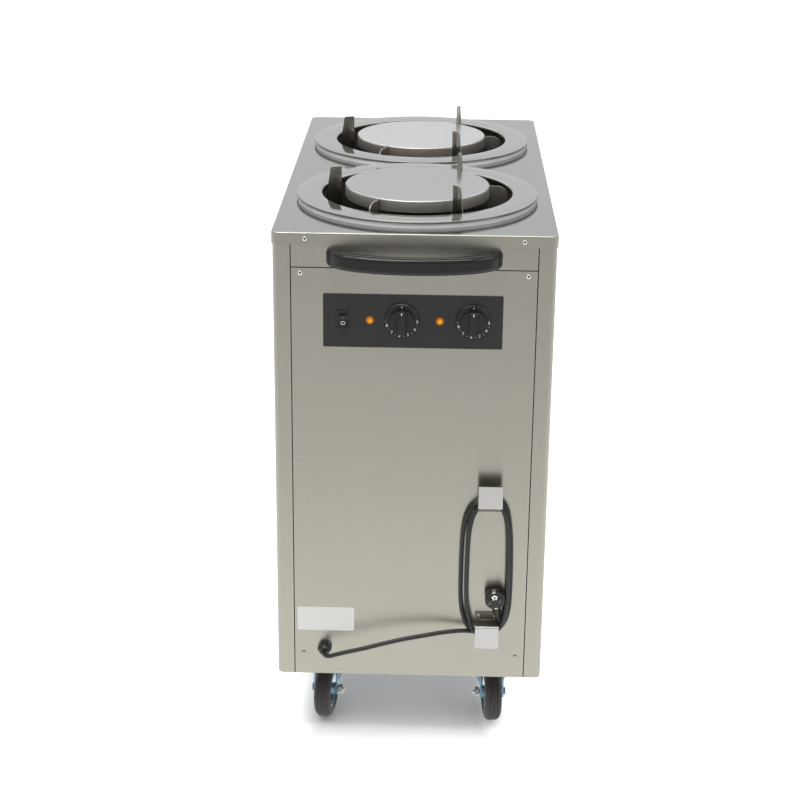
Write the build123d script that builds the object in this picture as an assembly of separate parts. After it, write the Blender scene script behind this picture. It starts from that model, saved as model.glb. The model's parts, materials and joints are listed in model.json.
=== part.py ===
from build123d import *
from math import cos, pi, radians, sin, tan
import os

# Heated plate dispenser: a stainless cabinet on four castors with two round wells. In each well
# a spring pushes a platform up, so that the top plate of the stack is always at the deck.
# Millimetres. +Z is up, +X is to the right of someone facing the controls, the controls face -Y.
# The origin is on the floor, below the middle of the cabinet and its handle.

# ---------------------------------------------------------------- driving dimensions
# cabinet
cabinet_width = 455.0
cabinet_depth = 890.0
deck_height = 905.0
sheet = 1.2
skirt_drop = 20.0
deck_corner = 12.0
deck_edge_round = 2.6
skirt_clearance = 0.3
return_width = 28.5
seam_gap = 1.6
landing_width = 30.0
wall_drop = 0.6
upper_panel_height = 37.5
panel_flange = 10.0
apron = 10.5
pan_flange = 22.0
pan_sheet = 1.5
drain_radius = 20.0

# wells
well_offset = 208.0
tube_radius = 163.0
tube_flange_width = 16.0
deck_opening_clearance = 0.8
tube_notch_width = 44.0
tube_notch_height = 40.0
rail_depth = 12.0
rail_slot = 3.2
rail_top_drop = 26.0
rail_foot_height = 90.0
collar_radius = 204.7
collar_hole_radius = 161.0
collar_rise = 11.0
collar_round = 3.0

# platforms and carriages
platform_radius = 122.0
platform_side = 20.0
platform_round = 2.4
front_platform_rise = 24.0
rear_platform_rise = 18.5
platform_travel = 500.0
arm_thickness = 2.0
arm_radius = 152.5
arm_round = 16.0
arm_top_drop = 2.6
arm_depth = 36.0
foot_radius = 160.0
foot_height = 34.0
foot_drop = 76.0
arm_clearance = 0.5
cup_radius = 72.0
cup_thickness = 2.0
spigot_height = 14.0
spigot_wall = 2.0

# lift springs
spring_radius = 60.0
spring_wire = 6.0
spring_turns = 9
spring_gap = 0.3

# plate guides
guide_reach = 129.0
guide_pivot_radius = 156.5
guide_pivot_offset = -1.0
guide_rise = 50.0
guide_sheet = 1.6
guide_crease = 17.0
guide_crease_angle = 12.0
guide_angle = 4.0
guide_top_width = 19.5
guide_top_round = 5.0
guide_bottom_drop = 58.0
knuckle_radius = 4.4
knuckle_height = 34.0
knuckle_drop = 22.0
pin_radius = 2.5
pin_clearance = 0.06
ear_thickness = 3.0
ear_width = 13.0
ear_gap = 0.4
ear_sweep = 8.6

# heaters
heater_radius = 108.0
heater_tube = 8.0
heater_height = 30.0
heater_tail_end = 178.0
heater_gap_angle = 16.0
heater_leg_radius = 3.0
heater_leg_angles = (30.0, 150.0, 235.0)

# handle
handle_reach = 58.0
handle_length = 280.0
handle_grip_depth = 20.0
handle_grip_height = 28.0
handle_grip_round = 7.5

# control plate
control_plate_width = 288.0
control_plate_height = 89.0
control_plate_thickness = 1.6
control_plate_corner = 2.0
control_plate_x = -1.0
control_plate_drop = 144.9
control_cut_margin = 1.5
control_row_drop = 143.2
switch_x = -113.0
switch_width = 20.8
switch_height = 30.8
switch_bezel = 1.8
switch_depth = 24.0
switch_wall = 2.6
rocker_clearance = 0.4
rocker_angle = 9.0
rocker_rise = 4.2
rocker_depth = 9.0
lamp_positions = {"front": -69.7, "rear": 42.3}
lamp_bezel_radius = 7.2
lamp_bezel_height = 2.0
lamp_lens_radius = 5.4
lamp_lens_height = 6.0
lamp_body_radius = 6.0
lamp_body_depth = 24.0
knob_positions = {"front": -18.8, "rear": 95.9}
knob_skirt_radius = 28.8
knob_skirt_height = 3.4
knob_grip_radius = 20.0
knob_grip_height = 17.0
knob_shoulder_height = 8.5
knob_bar_width = 12.0
knob_gap = 0.6
spindle_radius = 3.0
spindle_clearance = 0.1
thermostat_width = 38.0
thermostat_depth = 24.0
thermostat_neck_radius = 5.0
thermostat_bracket_width = 46.0
terminal_block_size = (60.0, 26.0, 22.0)

# cord, gland, plug and brackets
cord_diameter = 7.5
gland_x = -145.0
gland_height = 169.5
gland_nut_radius = 12.2
gland_nut_length = 9.0
gland_dome_length = 10.0
gland_nose_radius = 6.6
gland_thread_radius = 8.0
gland_thread_length = 12.0
gland_hole_clearance = 0.3
bracket_x = 131.0
bracket_width = 40.0
bracket_sheet = 1.5
bracket_reach = 28.0
bracket_flange = 16.0
bracket_lip = 40.0
bracket_bend = 2.4
lower_shelf_height = 226.5
upper_shelf_height = 446.5
hank_shelf_gap = 0.5
hank_edge_round = 3.5
hank_bottom_width = 16.0
hank_left_width = 18.0
hank_right_width = 13.0
hank_strand_depth = 15.0
hank_standoff = 14.8
hank_left = 82.0
hank_right = 174.0
hank_bottom = 201.0
hank_top_bend = 42.0
hank_inner_top_bend = 10.0
hank_bottom_bend = 40.0
plug_x = 143.4
plug_height = 276.5
plug_radius = 17.0
plug_thickness = 21.0
plug_flat_width = 10.0
plug_flat_depth = 3.0
plug_back_gap = 3.0
plug_tilt = 9.0
plug_pin_radius = 2.4
plug_pin_length = 19.0
plug_pin_spacing = 19.0
plug_tail_length = 19.0
plug_lead_turn = 34.0
plug_lead_bend = 12.0
plug_lead_run = 4.0
plug_lead_end = 16.0

# screws
screw_head_radius = 3.8
screw_head_height = 2.0
screw_radius = 2.0
screw_length = 6.0
screw_hole_clearance = 0.3
deck_screw_side_inset = 54.1
deck_screw_drop = 10.0
deck_screw_end_inset = 145.0
panel_screw_inset = 16.0
panel_screw_drop = 9.2
rear_screw_bottom = 40.0
bracket_screw_spacing = 30.0

# castors
castor_height = 128.0
castor_x = 142.0
castor_front_inset = 103.0
castor_rear_inset = 103.0
castor_trail = 35.0
castor_yaw = {"front_left": -8.0, "front_right": 5.0, "rear_left": -4.0, "rear_right": 9.0}
wheel_radius = 50.0
tread_width = 29.0
rim_radius = 31.0
rim_width = 24.0
rim_sheet = 2.5
hub_radius = 11.0
hub_width = 36.0
axle_radius = 4.0
axle_clearance = 0.06
axle_head_radius = 8.0
axle_head_height = 2.4
axle_nut_radius = 7.5
axle_nut_height = 6.5
axle_thread_end = 4.0
tyre_shoulder = 10.5
castor_plate_length = 105.0
castor_plate_width = 84.0
castor_plate_thickness = 3.0
race_radius = 31.0
race_height = 6.5
fork_crown_radius = 41.0
fork_crown_round = 7.0
fork_sheet = 2.5
fork_gap = 36.6
fork_flare_drop = 30.0
fork_shoulder_drop = 58.0
fork_end_radius = 11.0
swivel_clearance = 0.3
kingpin_radius = 6.0
kingpin_clearance = 0.08
kingpin_head_radius = 10.0
kingpin_head_height = 6.0

# ---------------------------------------------------------------- derived places
overhang = sheet + skirt_clearance
wall_corner = deck_corner - overhang
front_edge = -(cabinet_depth - handle_reach) / 2
rear_edge = front_edge + cabinet_depth
middle_y = (front_edge + rear_edge) / 2
face_y = front_edge + overhang
back_y = rear_edge - overhang
side_x = cabinet_width / 2 - overhang
seam_x = side_x - return_width
wall_top = deck_height - sheet - wall_drop
seam_z = deck_height - skirt_drop - upper_panel_height
lower_edge = castor_height - apron
pan_top = castor_height + pan_sheet
tube_outer = tube_radius + sheet
wells = {
    "front": (middle_y - well_offset, deck_height + front_platform_rise),
    "rear": (middle_y + well_offset, deck_height + rear_platform_rise),
}
arm_angles = (0.0, 120.0, 240.0)
guide_angles = {"left": 180.0, "near": 300.0, "far": 60.0}
control_face_y = face_y - control_plate_thickness
control_row_z = deck_height - control_row_drop
castor_places = {
    side_row: (
        castor_x if side_row.endswith("right") else -castor_x,
        front_edge + castor_front_inset if side_row.startswith("front") else rear_edge - castor_rear_inset,
    )
    for side_row in castor_yaw
}
deck_screw_x = cabinet_width / 2 - deck_screw_side_inset
deck_screw_y = cabinet_depth / 2 - deck_screw_end_inset
screw_places = [
    # point on the outer face, direction the head faces
    *[((x, front_edge, deck_height - deck_screw_drop), (0, -1, 0)) for x in (-deck_screw_x, deck_screw_x)],
    *[((x, rear_edge, deck_height - deck_screw_drop), (0, 1, 0)) for x in (-deck_screw_x, deck_screw_x)],
    *[
        ((side * cabinet_width / 2, middle_y + y, deck_height - deck_screw_drop), (side, 0, 0))
        for side in (-1, 1)
        for y in (-deck_screw_y, deck_screw_y)
    ],
    *[
        ((side * (seam_x - panel_screw_inset), face_y, z), (0, -1, 0))
        for side in (-1, 1)
        for z in (seam_z - panel_screw_drop, lower_edge + rear_screw_bottom)
    ],
    *[
        ((side * (seam_x - panel_screw_inset), back_y, z), (0, 1, 0))
        for side in (-1, 1)
        for z in (seam_z, (seam_z + lower_edge) / 2, lower_edge + rear_screw_bottom)
    ],
]
bracket_screw_places = [
    ((bracket_x + side * bracket_screw_spacing / 2, face_y - bracket_sheet, z), (0, -1, 0))
    for side in (-1, 1)
    for z in (lower_shelf_height + bracket_flange / 2 + 1, upper_shelf_height - bracket_flange / 2 - 1)
]


# ---------------------------------------------------------------- helpers
def box_between(low, high):
    """Box from its lowest to its highest corner."""
    size = [b - a for a, b in zip(low, high)]
    centre = [(a + b) / 2 for a, b in zip(low, high)]
    return Pos(*centre) * Box(*size)


def rod(start, end, radius):
    """Round bar from one point to another."""
    axis = Vector(*end) - Vector(*start)
    return extrude(Plane(origin=start, z_dir=axis.normalized()) * Circle(radius), axis.length)


def turned(points):
    """Solid of revolution about the local Z axis from (radius, height) points."""
    return revolve(Plane.XZ * make_face(Polyline(*points, close=True)), Axis.Z)


def facing(point, direction):
    """Location at a point, whose local +Z is the direction."""
    up = (0, 0, 1) if abs(direction[2]) < 0.5 else (0, 1, 0)
    return Plane(origin=point, x_dir=Vector(*up).cross(Vector(*direction)), z_dir=direction).location


def drilled(part, places):
    """Part with a clearance hole at each screw."""
    for point, direction in places:
        hole = Cylinder(screw_radius + screw_hole_clearance, 2 * screw_length)
        part -= facing(point, direction) * hole
    return part


def at_angle(part, angle, centre_y):
    """Part modelled along +X, turned about a well's axis and moved there."""
    return Pos(0, centre_y, 0) * Rot(0, 0, angle) * part


# ---------------------------------------------------------------- cabinet
def make_deck():
    """Top sheet with a turned-down skirt and the two round openings."""

    def block(inset, height):
        outline = RectangleRounded(
            cabinet_width - 2 * inset, cabinet_depth - 2 * inset, deck_corner - inset
        )
        solid = Pos(0, middle_y, deck_height - skirt_drop) * extrude(outline, height)
        return fillet(solid.edges().group_by(Axis.Z)[-1], deck_edge_round - inset)

    deck = block(0, skirt_drop) - block(sheet, skirt_drop - sheet)
    for centre_y, _ in wells.values():
        opening = Cylinder(tube_outer + deck_opening_clearance, 3 * sheet)
        deck -= Pos(0, centre_y, deck_height) * opening
    return drilled(deck, screw_places)


def make_side_panel(side):
    """Side wall that wraps round both corners, with a landing behind each end panel."""
    line_x = side_x - sheet / 2
    front_line = face_y + sheet / 2
    back_line = back_y - sheet / 2
    path = FilletPolyline(
        (seam_x, front_line),
        (line_x, front_line),
        (line_x, back_line),
        (seam_x, back_line),
        radius=wall_corner - sheet / 2,
    )
    section = trace(path, sheet)
    landing_x = seam_x - landing_width
    for outer, inward in ((face_y, 1), (back_y, -1)):
        web = Pos(seam_x + sheet / 2, outer + inward * sheet) * Rectangle(sheet, 2 * sheet)
        strip_y = outer + inward * sheet * 1.5
        strip = Pos((landing_x + seam_x + sheet) / 2, strip_y) * Rectangle(landing_width + sheet, sheet)
        section += web + strip
    wall = Pos(0, 0, lower_edge) * extrude(section, wall_top - lower_edge)
    wall = drilled(wall, screw_places)
    return wall if side > 0 else mirror(wall, Plane.YZ)


def end_panel(low_z, high_z, outer_y, inward):
    """Flat panel between the corner returns, with top and bottom flanges turned inward."""
    half = seam_x - seam_gap
    inner_y = outer_y + inward * sheet
    flange_y = outer_y + inward * (panel_flange + sheet)
    lows = sorted((outer_y, inner_y))
    panel = box_between((-half, lows[0], low_z), (half, lows[1], high_z))
    flange_half = seam_x - landing_width - seam_gap
    flange_ys = sorted((outer_y, flange_y))
    for z in (low_z, high_z - sheet):
        panel += box_between((-flange_half, flange_ys[0], z), (flange_half, flange_ys[1], z + sheet))
    return panel


def make_front_upper_panel():
    """Strip that carries the handle, up behind the deck's skirt."""
    return drilled(end_panel(seam_z + seam_gap / 2, wall_top, face_y, 1), screw_places)


def control_cut(x, width, height):
    """Cut-out in the front panel that clears the body of one control."""
    cut = Box(width + 2 * control_cut_margin, 8 * sheet, height + 2 * control_cut_margin)
    return Pos(x, face_y, control_row_z) * cut


def make_front_lower_panel():
    """Front panel with a cut-out behind each control and the gland's hole."""
    panel = end_panel(lower_edge, seam_z - seam_gap / 2, face_y, 1)
    body_width = switch_width - 2 * switch_bezel
    body_height = switch_height - 2 * switch_bezel
    panel -= control_cut(switch_x, body_width, body_height)
    for x in lamp_positions.values():
        panel -= control_cut(x, 2 * lamp_body_radius, 2 * lamp_body_radius)
    for x in knob_positions.values():
        panel -= control_cut(x, thermostat_bracket_width, thermostat_width)
    gland_hole = Cylinder(gland_thread_radius + gland_hole_clearance, 8 * sheet)
    panel -= facing((gland_x, face_y, gland_height), (0, -1, 0)) * gland_hole
    return drilled(panel, screw_places + bracket_screw_places)


def make_rear_panel():
    """Removable rear panel, held by six screws."""
    panel = end_panel(lower_edge, wall_top, back_y, -1)
    return drilled(panel, screw_places)


def make_base_pan():
    """Floor of the cabinet: a tray with upturned flanges, a spring spigot below each well."""
    width = 2 * (side_x - sheet)
    low_y = face_y + 2 * sheet
    high_y = back_y - 2 * sheet
    outline = RectangleRounded(width, high_y - low_y, wall_corner)
    hollow = offset(outline, -pan_sheet)
    pan = extrude(outline, pan_flange) - Pos(0, 0, pan_sheet) * extrude(hollow, pan_flange)
    pan = Pos(0, (low_y + high_y) / 2, castor_height) * pan
    inner = spring_radius - spring_wire / 2 - 2 * spigot_wall
    for centre_y, _ in wells.values():
        ring = Circle(inner + spigot_wall) - Circle(inner)
        pan += Pos(0, centre_y, pan_top) * extrude(ring, spigot_height)
        pan -= Pos(0, centre_y, castor_height) * Cylinder(drain_radius, 4 * pan_sheet)
    return pan


# ---------------------------------------------------------------- wells
def make_well_tube(centre_y):
    """Tube of a well: a flange on the deck, three guide channels and a notch for the heater's tails."""
    wall_top = deck_height + sheet
    tube = turned(
        [
            (tube_radius, pan_top),
            (tube_outer, pan_top),
            (tube_outer, deck_height),
            (tube_radius + tube_flange_width, deck_height),
            (tube_radius + tube_flange_width, wall_top),
            (tube_radius, wall_top),
        ]
    )
    low = pan_top + rail_foot_height
    high = deck_height - rail_top_drop
    for angle in arm_angles:
        for side in (-1, 1):
            y = side * (rail_slot + sheet) / 2
            strip = box_between(
                (tube_radius - rail_depth, y - sheet / 2, low), (tube_radius + sheet / 2, y + sheet / 2, high)
            )
            tube += Rot(0, 0, angle) * strip
    notch = Box(4 * tube_notch_width, tube_notch_width, 2 * tube_notch_height)
    tube -= Rot(0, 0, -90) * (Pos(2 * tube_notch_width + heater_radius, 0, pan_top) * notch)
    return Pos(0, centre_y, 0) * tube


def make_collar(centre_y):
    """Pressed ring over the tube's flange, with an outer wall down to the deck."""
    top = deck_height + collar_rise
    flange_top = deck_height + sheet
    profile = make_face(
        Polyline(
            (collar_hole_radius, flange_top),
            (collar_hole_radius, top),
            (collar_radius, top),
            (collar_radius, deck_height),
            (collar_radius - sheet, deck_height),
            (collar_radius - sheet, top - sheet),
            (collar_hole_radius + sheet, top - sheet),
            (collar_hole_radius + sheet, flange_top),
            close=True,
        )
    )
    profile = fillet(profile.vertices().group_by(Axis.Y)[-1], collar_round)
    inner_corners = [v for v in profile.vertices() if abs(v.Y - (top - sheet)) < 0.01]
    profile = fillet(inner_corners, collar_round - sheet)
    return Pos(0, centre_y, 0) * revolve(Plane.XZ * profile, Axis.Z)


def make_platform(centre_y, top_z):
    """Shallow inverted pan that carries the plates, notched for the carriage's three arms."""
    section = make_face(
        Polyline(
            (0, top_z - sheet),
            (platform_radius - sheet, top_z - sheet),
            (platform_radius - sheet, top_z - platform_side),
            (platform_radius, top_z - platform_side),
            (platform_radius, top_z),
            (0, top_z),
            close=True,
        )
    )
    outer = section.vertices().sort_by_distance((platform_radius, top_z))[0]
    section = fillet(outer, platform_round)
    pan = revolve(Plane.XZ * section, Axis.Z)
    width = arm_thickness + 2 * arm_clearance
    for angle in arm_angles:
        slot = box_between(
            (platform_radius - 4 * sheet, -width / 2, top_z - 2 * platform_side),
            (platform_radius + sheet, width / 2, top_z - sheet),
        )
        pan -= Rot(0, 0, angle) * slot
    return Pos(0, centre_y, 0) * pan


def make_carriage(centre_y, top_z):
    """Three upright arms under the platform, a spring cup, and feet that run in the channels."""
    under = top_z - sheet
    tip_z = top_z - arm_top_drop
    outside = platform_radius + arm_clearance
    inside = platform_radius - sheet - arm_clearance
    arm_profile = [
        (0, under - arm_depth),
        (arm_radius - foot_height, under - arm_depth),
        (arm_radius - arm_round / 2, under - foot_drop),
        (foot_radius, under - foot_drop),
        (foot_radius, under - foot_drop + foot_height),
        (arm_radius, under - foot_drop + foot_height + foot_radius - arm_radius),
        (arm_radius, tip_z),
        (outside, tip_z),
        (outside, under),
        (0, under),
    ]
    face = make_face(Polyline(*arm_profile, close=True))
    tip = face.vertices().sort_by_distance((arm_radius, tip_z))[0]
    face = fillet(tip, arm_round)
    arm = extrude(Plane.XZ * face, arm_thickness / 2, both=True)
    carriage = arm
    for angle in arm_angles[1:]:
        carriage += Rot(0, 0, angle) * arm
    cup_top = under - arm_depth
    spigot = spring_radius - spring_wire / 2 - spigot_wall
    cup = turned(
        [
            (0, cup_top - cup_thickness),
            (spigot - spigot_wall, cup_top - cup_thickness),
            (spigot - spigot_wall, cup_top - spigot_height),
            (spigot, cup_top - spigot_height),
            (spigot, cup_top - cup_thickness),
            (cup_radius, cup_top - cup_thickness),
            (cup_radius, cup_top),
            (0, cup_top),
        ]
    )
    return Pos(0, centre_y, 0) * (carriage + cup)


def make_lift_spring(centre_y, top_z):
    """Compression spring between the base pan and the carriage's cup."""
    low = pan_top + spring_gap + spring_wire / 2
    high = top_z - sheet - arm_depth - cup_thickness - spring_gap - spring_wire / 2
    pitch = (high - low) / spring_turns
    line = Helix(pitch, high - low, spring_radius)
    wire = sweep(Plane(origin=line @ 0, z_dir=line % 0) * Circle(spring_wire / 2), line, is_frenet=True)
    return Pos(0, centre_y, low) * wire


def make_guide(angle, centre_y):
    """Plate guide: a creased upright blade on a knuckle that turns on the bracket's pin."""
    crease = (-guide_crease * cos(radians(guide_angle)), -guide_crease * sin(radians(guide_angle)))
    rest = guide_pivot_radius - guide_reach - guide_crease
    lean = radians(guide_angle + guide_crease_angle)
    tip = (crease[0] - rest, crease[1] - rest * tan(lean))
    blade = trace(Polyline((-knuckle_radius / 2, 0), crease, tip), guide_sheet)
    low = deck_height - guide_bottom_drop
    high = deck_height + guide_rise
    blade = Pos(0, 0, low) * extrude(blade, high - low)
    width = guide_pivot_radius - guide_reach
    outline = make_face(
        Polyline(
            (-2 * width, low),
            (1, low),
            (1, deck_height - knuckle_drop),
            (-1.5, deck_height),
            (guide_top_width - width, high - 2 * guide_top_round),
            (guide_top_width - width - 0.6, high),
            (-2 * width, high),
            close=True,
        )
    )
    corner = outline.vertices().sort_by_distance((guide_top_width - width - 0.6, high))[0]
    outline = fillet(corner, guide_top_round)
    blade &= extrude(Plane.XZ * outline, width, both=True)
    ear_room = ear_thickness + 2 * ear_gap
    for ear_z in (
        deck_height - knuckle_drop + ear_room / 2,
        deck_height - knuckle_drop - knuckle_height - ear_room / 2,
    ):
        blade -= Pos(0, 0, ear_z) * Cylinder(ear_sweep, ear_room)
    knuckle_low = deck_height - knuckle_drop - knuckle_height
    knuckle = Pos(0, 0, knuckle_low + knuckle_height / 2) * Cylinder(knuckle_radius, knuckle_height)
    bore = Pos(0, 0, knuckle_low) * Cylinder(pin_radius + pin_clearance, 4 * knuckle_height)
    guide = Pos(guide_pivot_radius, guide_pivot_offset, 0) * (blade + knuckle - bore)
    return at_angle(guide, angle, centre_y)


def make_guide_brackets(centre_y):
    """Three brackets on the tube's wall, each two ears and the pin between them."""
    brackets = []
    knuckle_high = deck_height - knuckle_drop
    knuckle_low = knuckle_high - knuckle_height
    ear_end = tube_radius - ear_gap
    for angle in guide_angles.values():
        pin = rod(
            (guide_pivot_radius, guide_pivot_offset, knuckle_low - ear_gap - ear_thickness),
            (guide_pivot_radius, guide_pivot_offset, knuckle_high + ear_gap + ear_thickness),
            pin_radius,
        )
        bracket = pin
        for low in (knuckle_low - ear_gap - ear_thickness, knuckle_high + ear_gap):
            ear = box_between(
                (guide_pivot_radius - knuckle_radius, -ear_width / 2, low),
                (ear_end, ear_width / 2, low + ear_thickness),
            )
            bracket += ear
        brackets.append(at_angle(bracket, angle, centre_y))
    return Compound(brackets)


def make_heater(centre_y):
    """Ring-shaped tubular heating element on three legs, its tails out through the tube's notch."""
    z = pan_top + heater_height
    half_gap = radians(heater_gap_angle) / 2
    ring_path = CenterArc((0, 0, z), heater_radius, heater_gap_angle / 2 - 90, 360 - heater_gap_angle)
    start = ring_path @ 0
    section = Plane(origin=start, z_dir=ring_path % 0) * Circle(heater_tube / 2)
    element = sweep(section, ring_path)
    reach = heater_radius * cos(half_gap)
    for side in (-1, 1):
        x = side * heater_radius * sin(half_gap)
        elbow = Pos(x, -reach, z) * Sphere(heater_tube / 2)
        element += elbow + rod((x, -reach, z), (x, -heater_tail_end, z), heater_tube / 2)
    for angle in heater_leg_angles:
        x = heater_radius * cos(radians(angle))
        y = heater_radius * sin(radians(angle))
        element += rod((x, y, pan_top), (x, y, z), heater_leg_radius)
    return Pos(0, centre_y, 0) * element


# ---------------------------------------------------------------- handle and controls
def make_handle():
    """Bow handle: a rounded grip swept along half an ellipse, its ends flat on the panel."""
    half_length = (handle_length - handle_grip_depth) / 2
    bow = handle_reach + overhang - handle_grip_depth / 2
    centre_z = (seam_z + deck_height - skirt_drop) / 2
    path = EllipticalCenterArc((0, face_y, centre_z), half_length, bow, start_angle=180, arc_size=180)
    section = RectangleRounded(handle_grip_depth, handle_grip_height, handle_grip_round)
    start = Plane(origin=path @ 0, x_dir=(1, 0, 0), z_dir=(0, -1, 0))
    return sweep(start * section, path)


def make_control_plate():
    """Plate over the panel's cut-outs, with holes for the switch, lamps and spindles."""
    plate = extrude(
        RectangleRounded(control_plate_width, control_plate_height, control_plate_corner),
        control_plate_thickness,
    )
    centre = (control_plate_x, face_y, deck_height - control_plate_drop)
    plate = facing(centre, (0, -1, 0)) * plate
    switch_hole = Box(
        switch_width - 2 * switch_bezel, 6 * control_plate_thickness, switch_height - 2 * switch_bezel
    )
    plate -= Pos(switch_x, face_y, control_row_z) * switch_hole
    for x in lamp_positions.values():
        hole = Cylinder(lamp_body_radius, 6 * control_plate_thickness)
        plate -= facing((x, face_y, control_row_z), (0, -1, 0)) * hole
    for x in knob_positions.values():
        hole = Cylinder(thermostat_neck_radius, 6 * control_plate_thickness)
        plate -= facing((x, face_y, control_row_z), (0, -1, 0)) * hole
    return plate


def make_switch_housing():
    """Body of the rocker switch: a bezel on the plate and a box behind it, open at the front."""
    bezel = Pos(0, -switch_bezel / 2, 0) * Box(switch_width, switch_bezel, switch_height)
    inner_width = switch_width - 2 * switch_bezel
    inner_height = switch_height - 2 * switch_bezel
    body = Pos(0, switch_depth / 2, 0) * Box(inner_width, switch_depth, inner_height)
    pocket_width = inner_width - 2 * (switch_wall - switch_bezel)
    pocket_height = inner_height - 2 * (switch_wall - switch_bezel)
    pocket_depth = rocker_depth + rocker_rise
    pocket = box_between(
        (-pocket_width / 2, -2 * switch_bezel, -pocket_height / 2),
        (pocket_width / 2, pocket_depth, pocket_height / 2),
    )
    return Pos(switch_x, control_face_y, control_row_z) * (bezel + body - pocket)


def make_power_rocker():
    """Rocker with a shallow V front, pressed in at the top."""
    width = switch_width - 2 * switch_wall - 2 * rocker_clearance
    half = (switch_height - 2 * switch_wall) / 2 - 2 * rocker_clearance
    face = make_face(
        Polyline(
            (-rocker_rise, -half),
            (-rocker_rise + half * tan(radians(rocker_angle)), 0),
            (-rocker_rise, half),
            (rocker_depth * 0.35, half * 0.9),
            (rocker_depth * 0.8, 0),
            (rocker_depth * 0.35, -half * 0.9),
            close=True,
        )
    )
    body = extrude(Plane.YZ * face, width / 2, both=True)
    body = Rot(-rocker_angle, 0, 0) * body
    return Pos(switch_x, control_face_y, control_row_z) * body


def make_lamp(x):
    """Neon indicator: bezel, domed lens and the body behind the plate."""
    body = turned(
        [
            (0, -lamp_body_depth),
            (lamp_body_radius - rocker_clearance / 2, -lamp_body_depth),
            (lamp_body_radius - rocker_clearance / 2, 0),
            (lamp_bezel_radius, 0),
            (lamp_bezel_radius, lamp_bezel_height * 0.6),
            (lamp_bezel_radius * 0.86, lamp_bezel_height),
            (0, lamp_bezel_height),
        ]
    )
    ball = lamp_lens_radius
    dome = Pos(0, 0, lamp_lens_height - ball) * Sphere(ball) + Pos(0, 0, lamp_bezel_height / 2) * Cylinder(
        ball, lamp_bezel_height
    )
    dome &= Pos(0, 0, lamp_lens_height / 2) * Box(4 * ball, 4 * ball, lamp_lens_height)
    return facing((x, control_face_y, control_row_z), (0, -1, 0)) * (body + dome)


def make_knob(x):
    """Dial knob: a skirt for the scale, a round grip scooped to a bar, and the spindle in it."""
    skirt = turned(
        [
            (0, 0),
            (knob_skirt_radius, 0),
            (knob_skirt_radius, knob_skirt_height * 0.5),
            (knob_skirt_radius - 1.6, knob_skirt_height),
            (0, knob_skirt_height),
        ]
    )
    grip = Pos(0, 0, knob_grip_height / 2) * Cylinder(knob_grip_radius, knob_grip_height)
    grip = chamfer(grip.edges().group_by(Axis.Z)[-1], 1.2)
    for side in (-1, 1):
        scoop_x = side * (knob_bar_width / 2 + knob_grip_radius)
        scoop = box_between(
            (scoop_x - knob_grip_radius, -2 * knob_grip_radius, knob_shoulder_height),
            (scoop_x + knob_grip_radius, 2 * knob_grip_radius, 2 * knob_grip_height),
        )
        grip -= scoop
    spindle = rod((0, 0, -thermostat_neck_radius - control_plate_thickness), (0, 0, 1), spindle_radius)
    outward = facing((x, control_face_y - knob_gap, control_row_z), (0, -1, 0))
    return outward * (skirt + grip + spindle)


def make_thermostat(x):
    """Capillary thermostat behind the plate: body, neck and fixing bracket."""
    behind = control_plate_thickness
    body = Pos(0, 0, -behind - thermostat_depth / 2 - sheet) * Box(
        thermostat_width, thermostat_width, thermostat_depth
    )
    body = fillet(body.edges().filter_by(Axis.Z), 5)
    bracket = Pos(0, 0, -behind - sheet / 2) * Box(thermostat_bracket_width, thermostat_width / 2, sheet)
    neck = Pos(0, 0, -behind / 2) * Cylinder(thermostat_neck_radius - rocker_clearance / 2, behind)
    thermostat = body + bracket + neck
    bore_depth = thermostat_neck_radius + behind + 1
    thermostat -= Pos(0, 0, -bore_depth / 2) * Cylinder(spindle_radius + spindle_clearance, bore_depth)
    return facing((x, control_face_y, control_row_z), (0, -1, 0)) * thermostat


def make_terminal_block():
    """Mains terminal block on the base pan, behind the gland."""
    length, depth, height = terminal_block_size
    block = box_between((-length / 2, -depth / 2, 0), (length / 2, depth / 2, height * 0.55))
    ways = 5
    pitch = length / ways
    for way in range(ways):
        x = -length / 2 + pitch * (way + 0.5)
        block += box_between(
            (x - pitch * 0.36, -depth * 0.3, 0), (x + pitch * 0.36, depth * 0.3, height)
        )
        block -= Pos(x, 0, height) * Cylinder(pitch * 0.2, height)
    return Pos(gland_x, face_y + 3 * depth, pan_top) * block


# ---------------------------------------------------------------- cord set
def make_cord_gland():
    """Cable gland: thread and lock nut inside, hexagon and domed nut outside."""
    hexagon = extrude(RegularPolygon(gland_nut_radius, 6), gland_nut_length)
    dome = turned(
        [
            (0, gland_nut_length),
            (gland_nut_radius * 0.86, gland_nut_length),
            (gland_nut_radius * 0.8, gland_nut_length + gland_dome_length * 0.45),
            (gland_nose_radius, gland_nut_length + gland_dome_length),
            (0, gland_nut_length + gland_dome_length),
        ]
    )
    thread = Pos(0, 0, -gland_thread_length / 2) * Cylinder(gland_thread_radius, gland_thread_length)
    nut_height = gland_thread_length * 0.4
    lock_nut = Pos(0, 0, -sheet - nut_height) * extrude(RegularPolygon(gland_nut_radius, 6), nut_height)
    place = facing((gland_x, face_y, gland_height), (0, -1, 0))
    return place * (hexagon + dome + thread + lock_nut)


# Route of the lead from the gland's nose to the hank: x, distance in front of the panel, z.
lead_route = [
    (gland_x, face_y - gland_nut_length - gland_dome_length, gland_height),
    (gland_x, face_y - 40.0, gland_height),
    (-112.0, face_y - 41.5, 181.0),
    (-79.0, face_y - 42.0, 189.5),
    (-43.0, face_y - 39.0, 199.0),
    (-8.0, face_y - 35.0, 206.5),
    (28.0, face_y - 30.0, 211.5),
    (60.0, face_y - 22.5, 214.5),
    (96.0, face_y - 14.5, 216.5),
]


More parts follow.
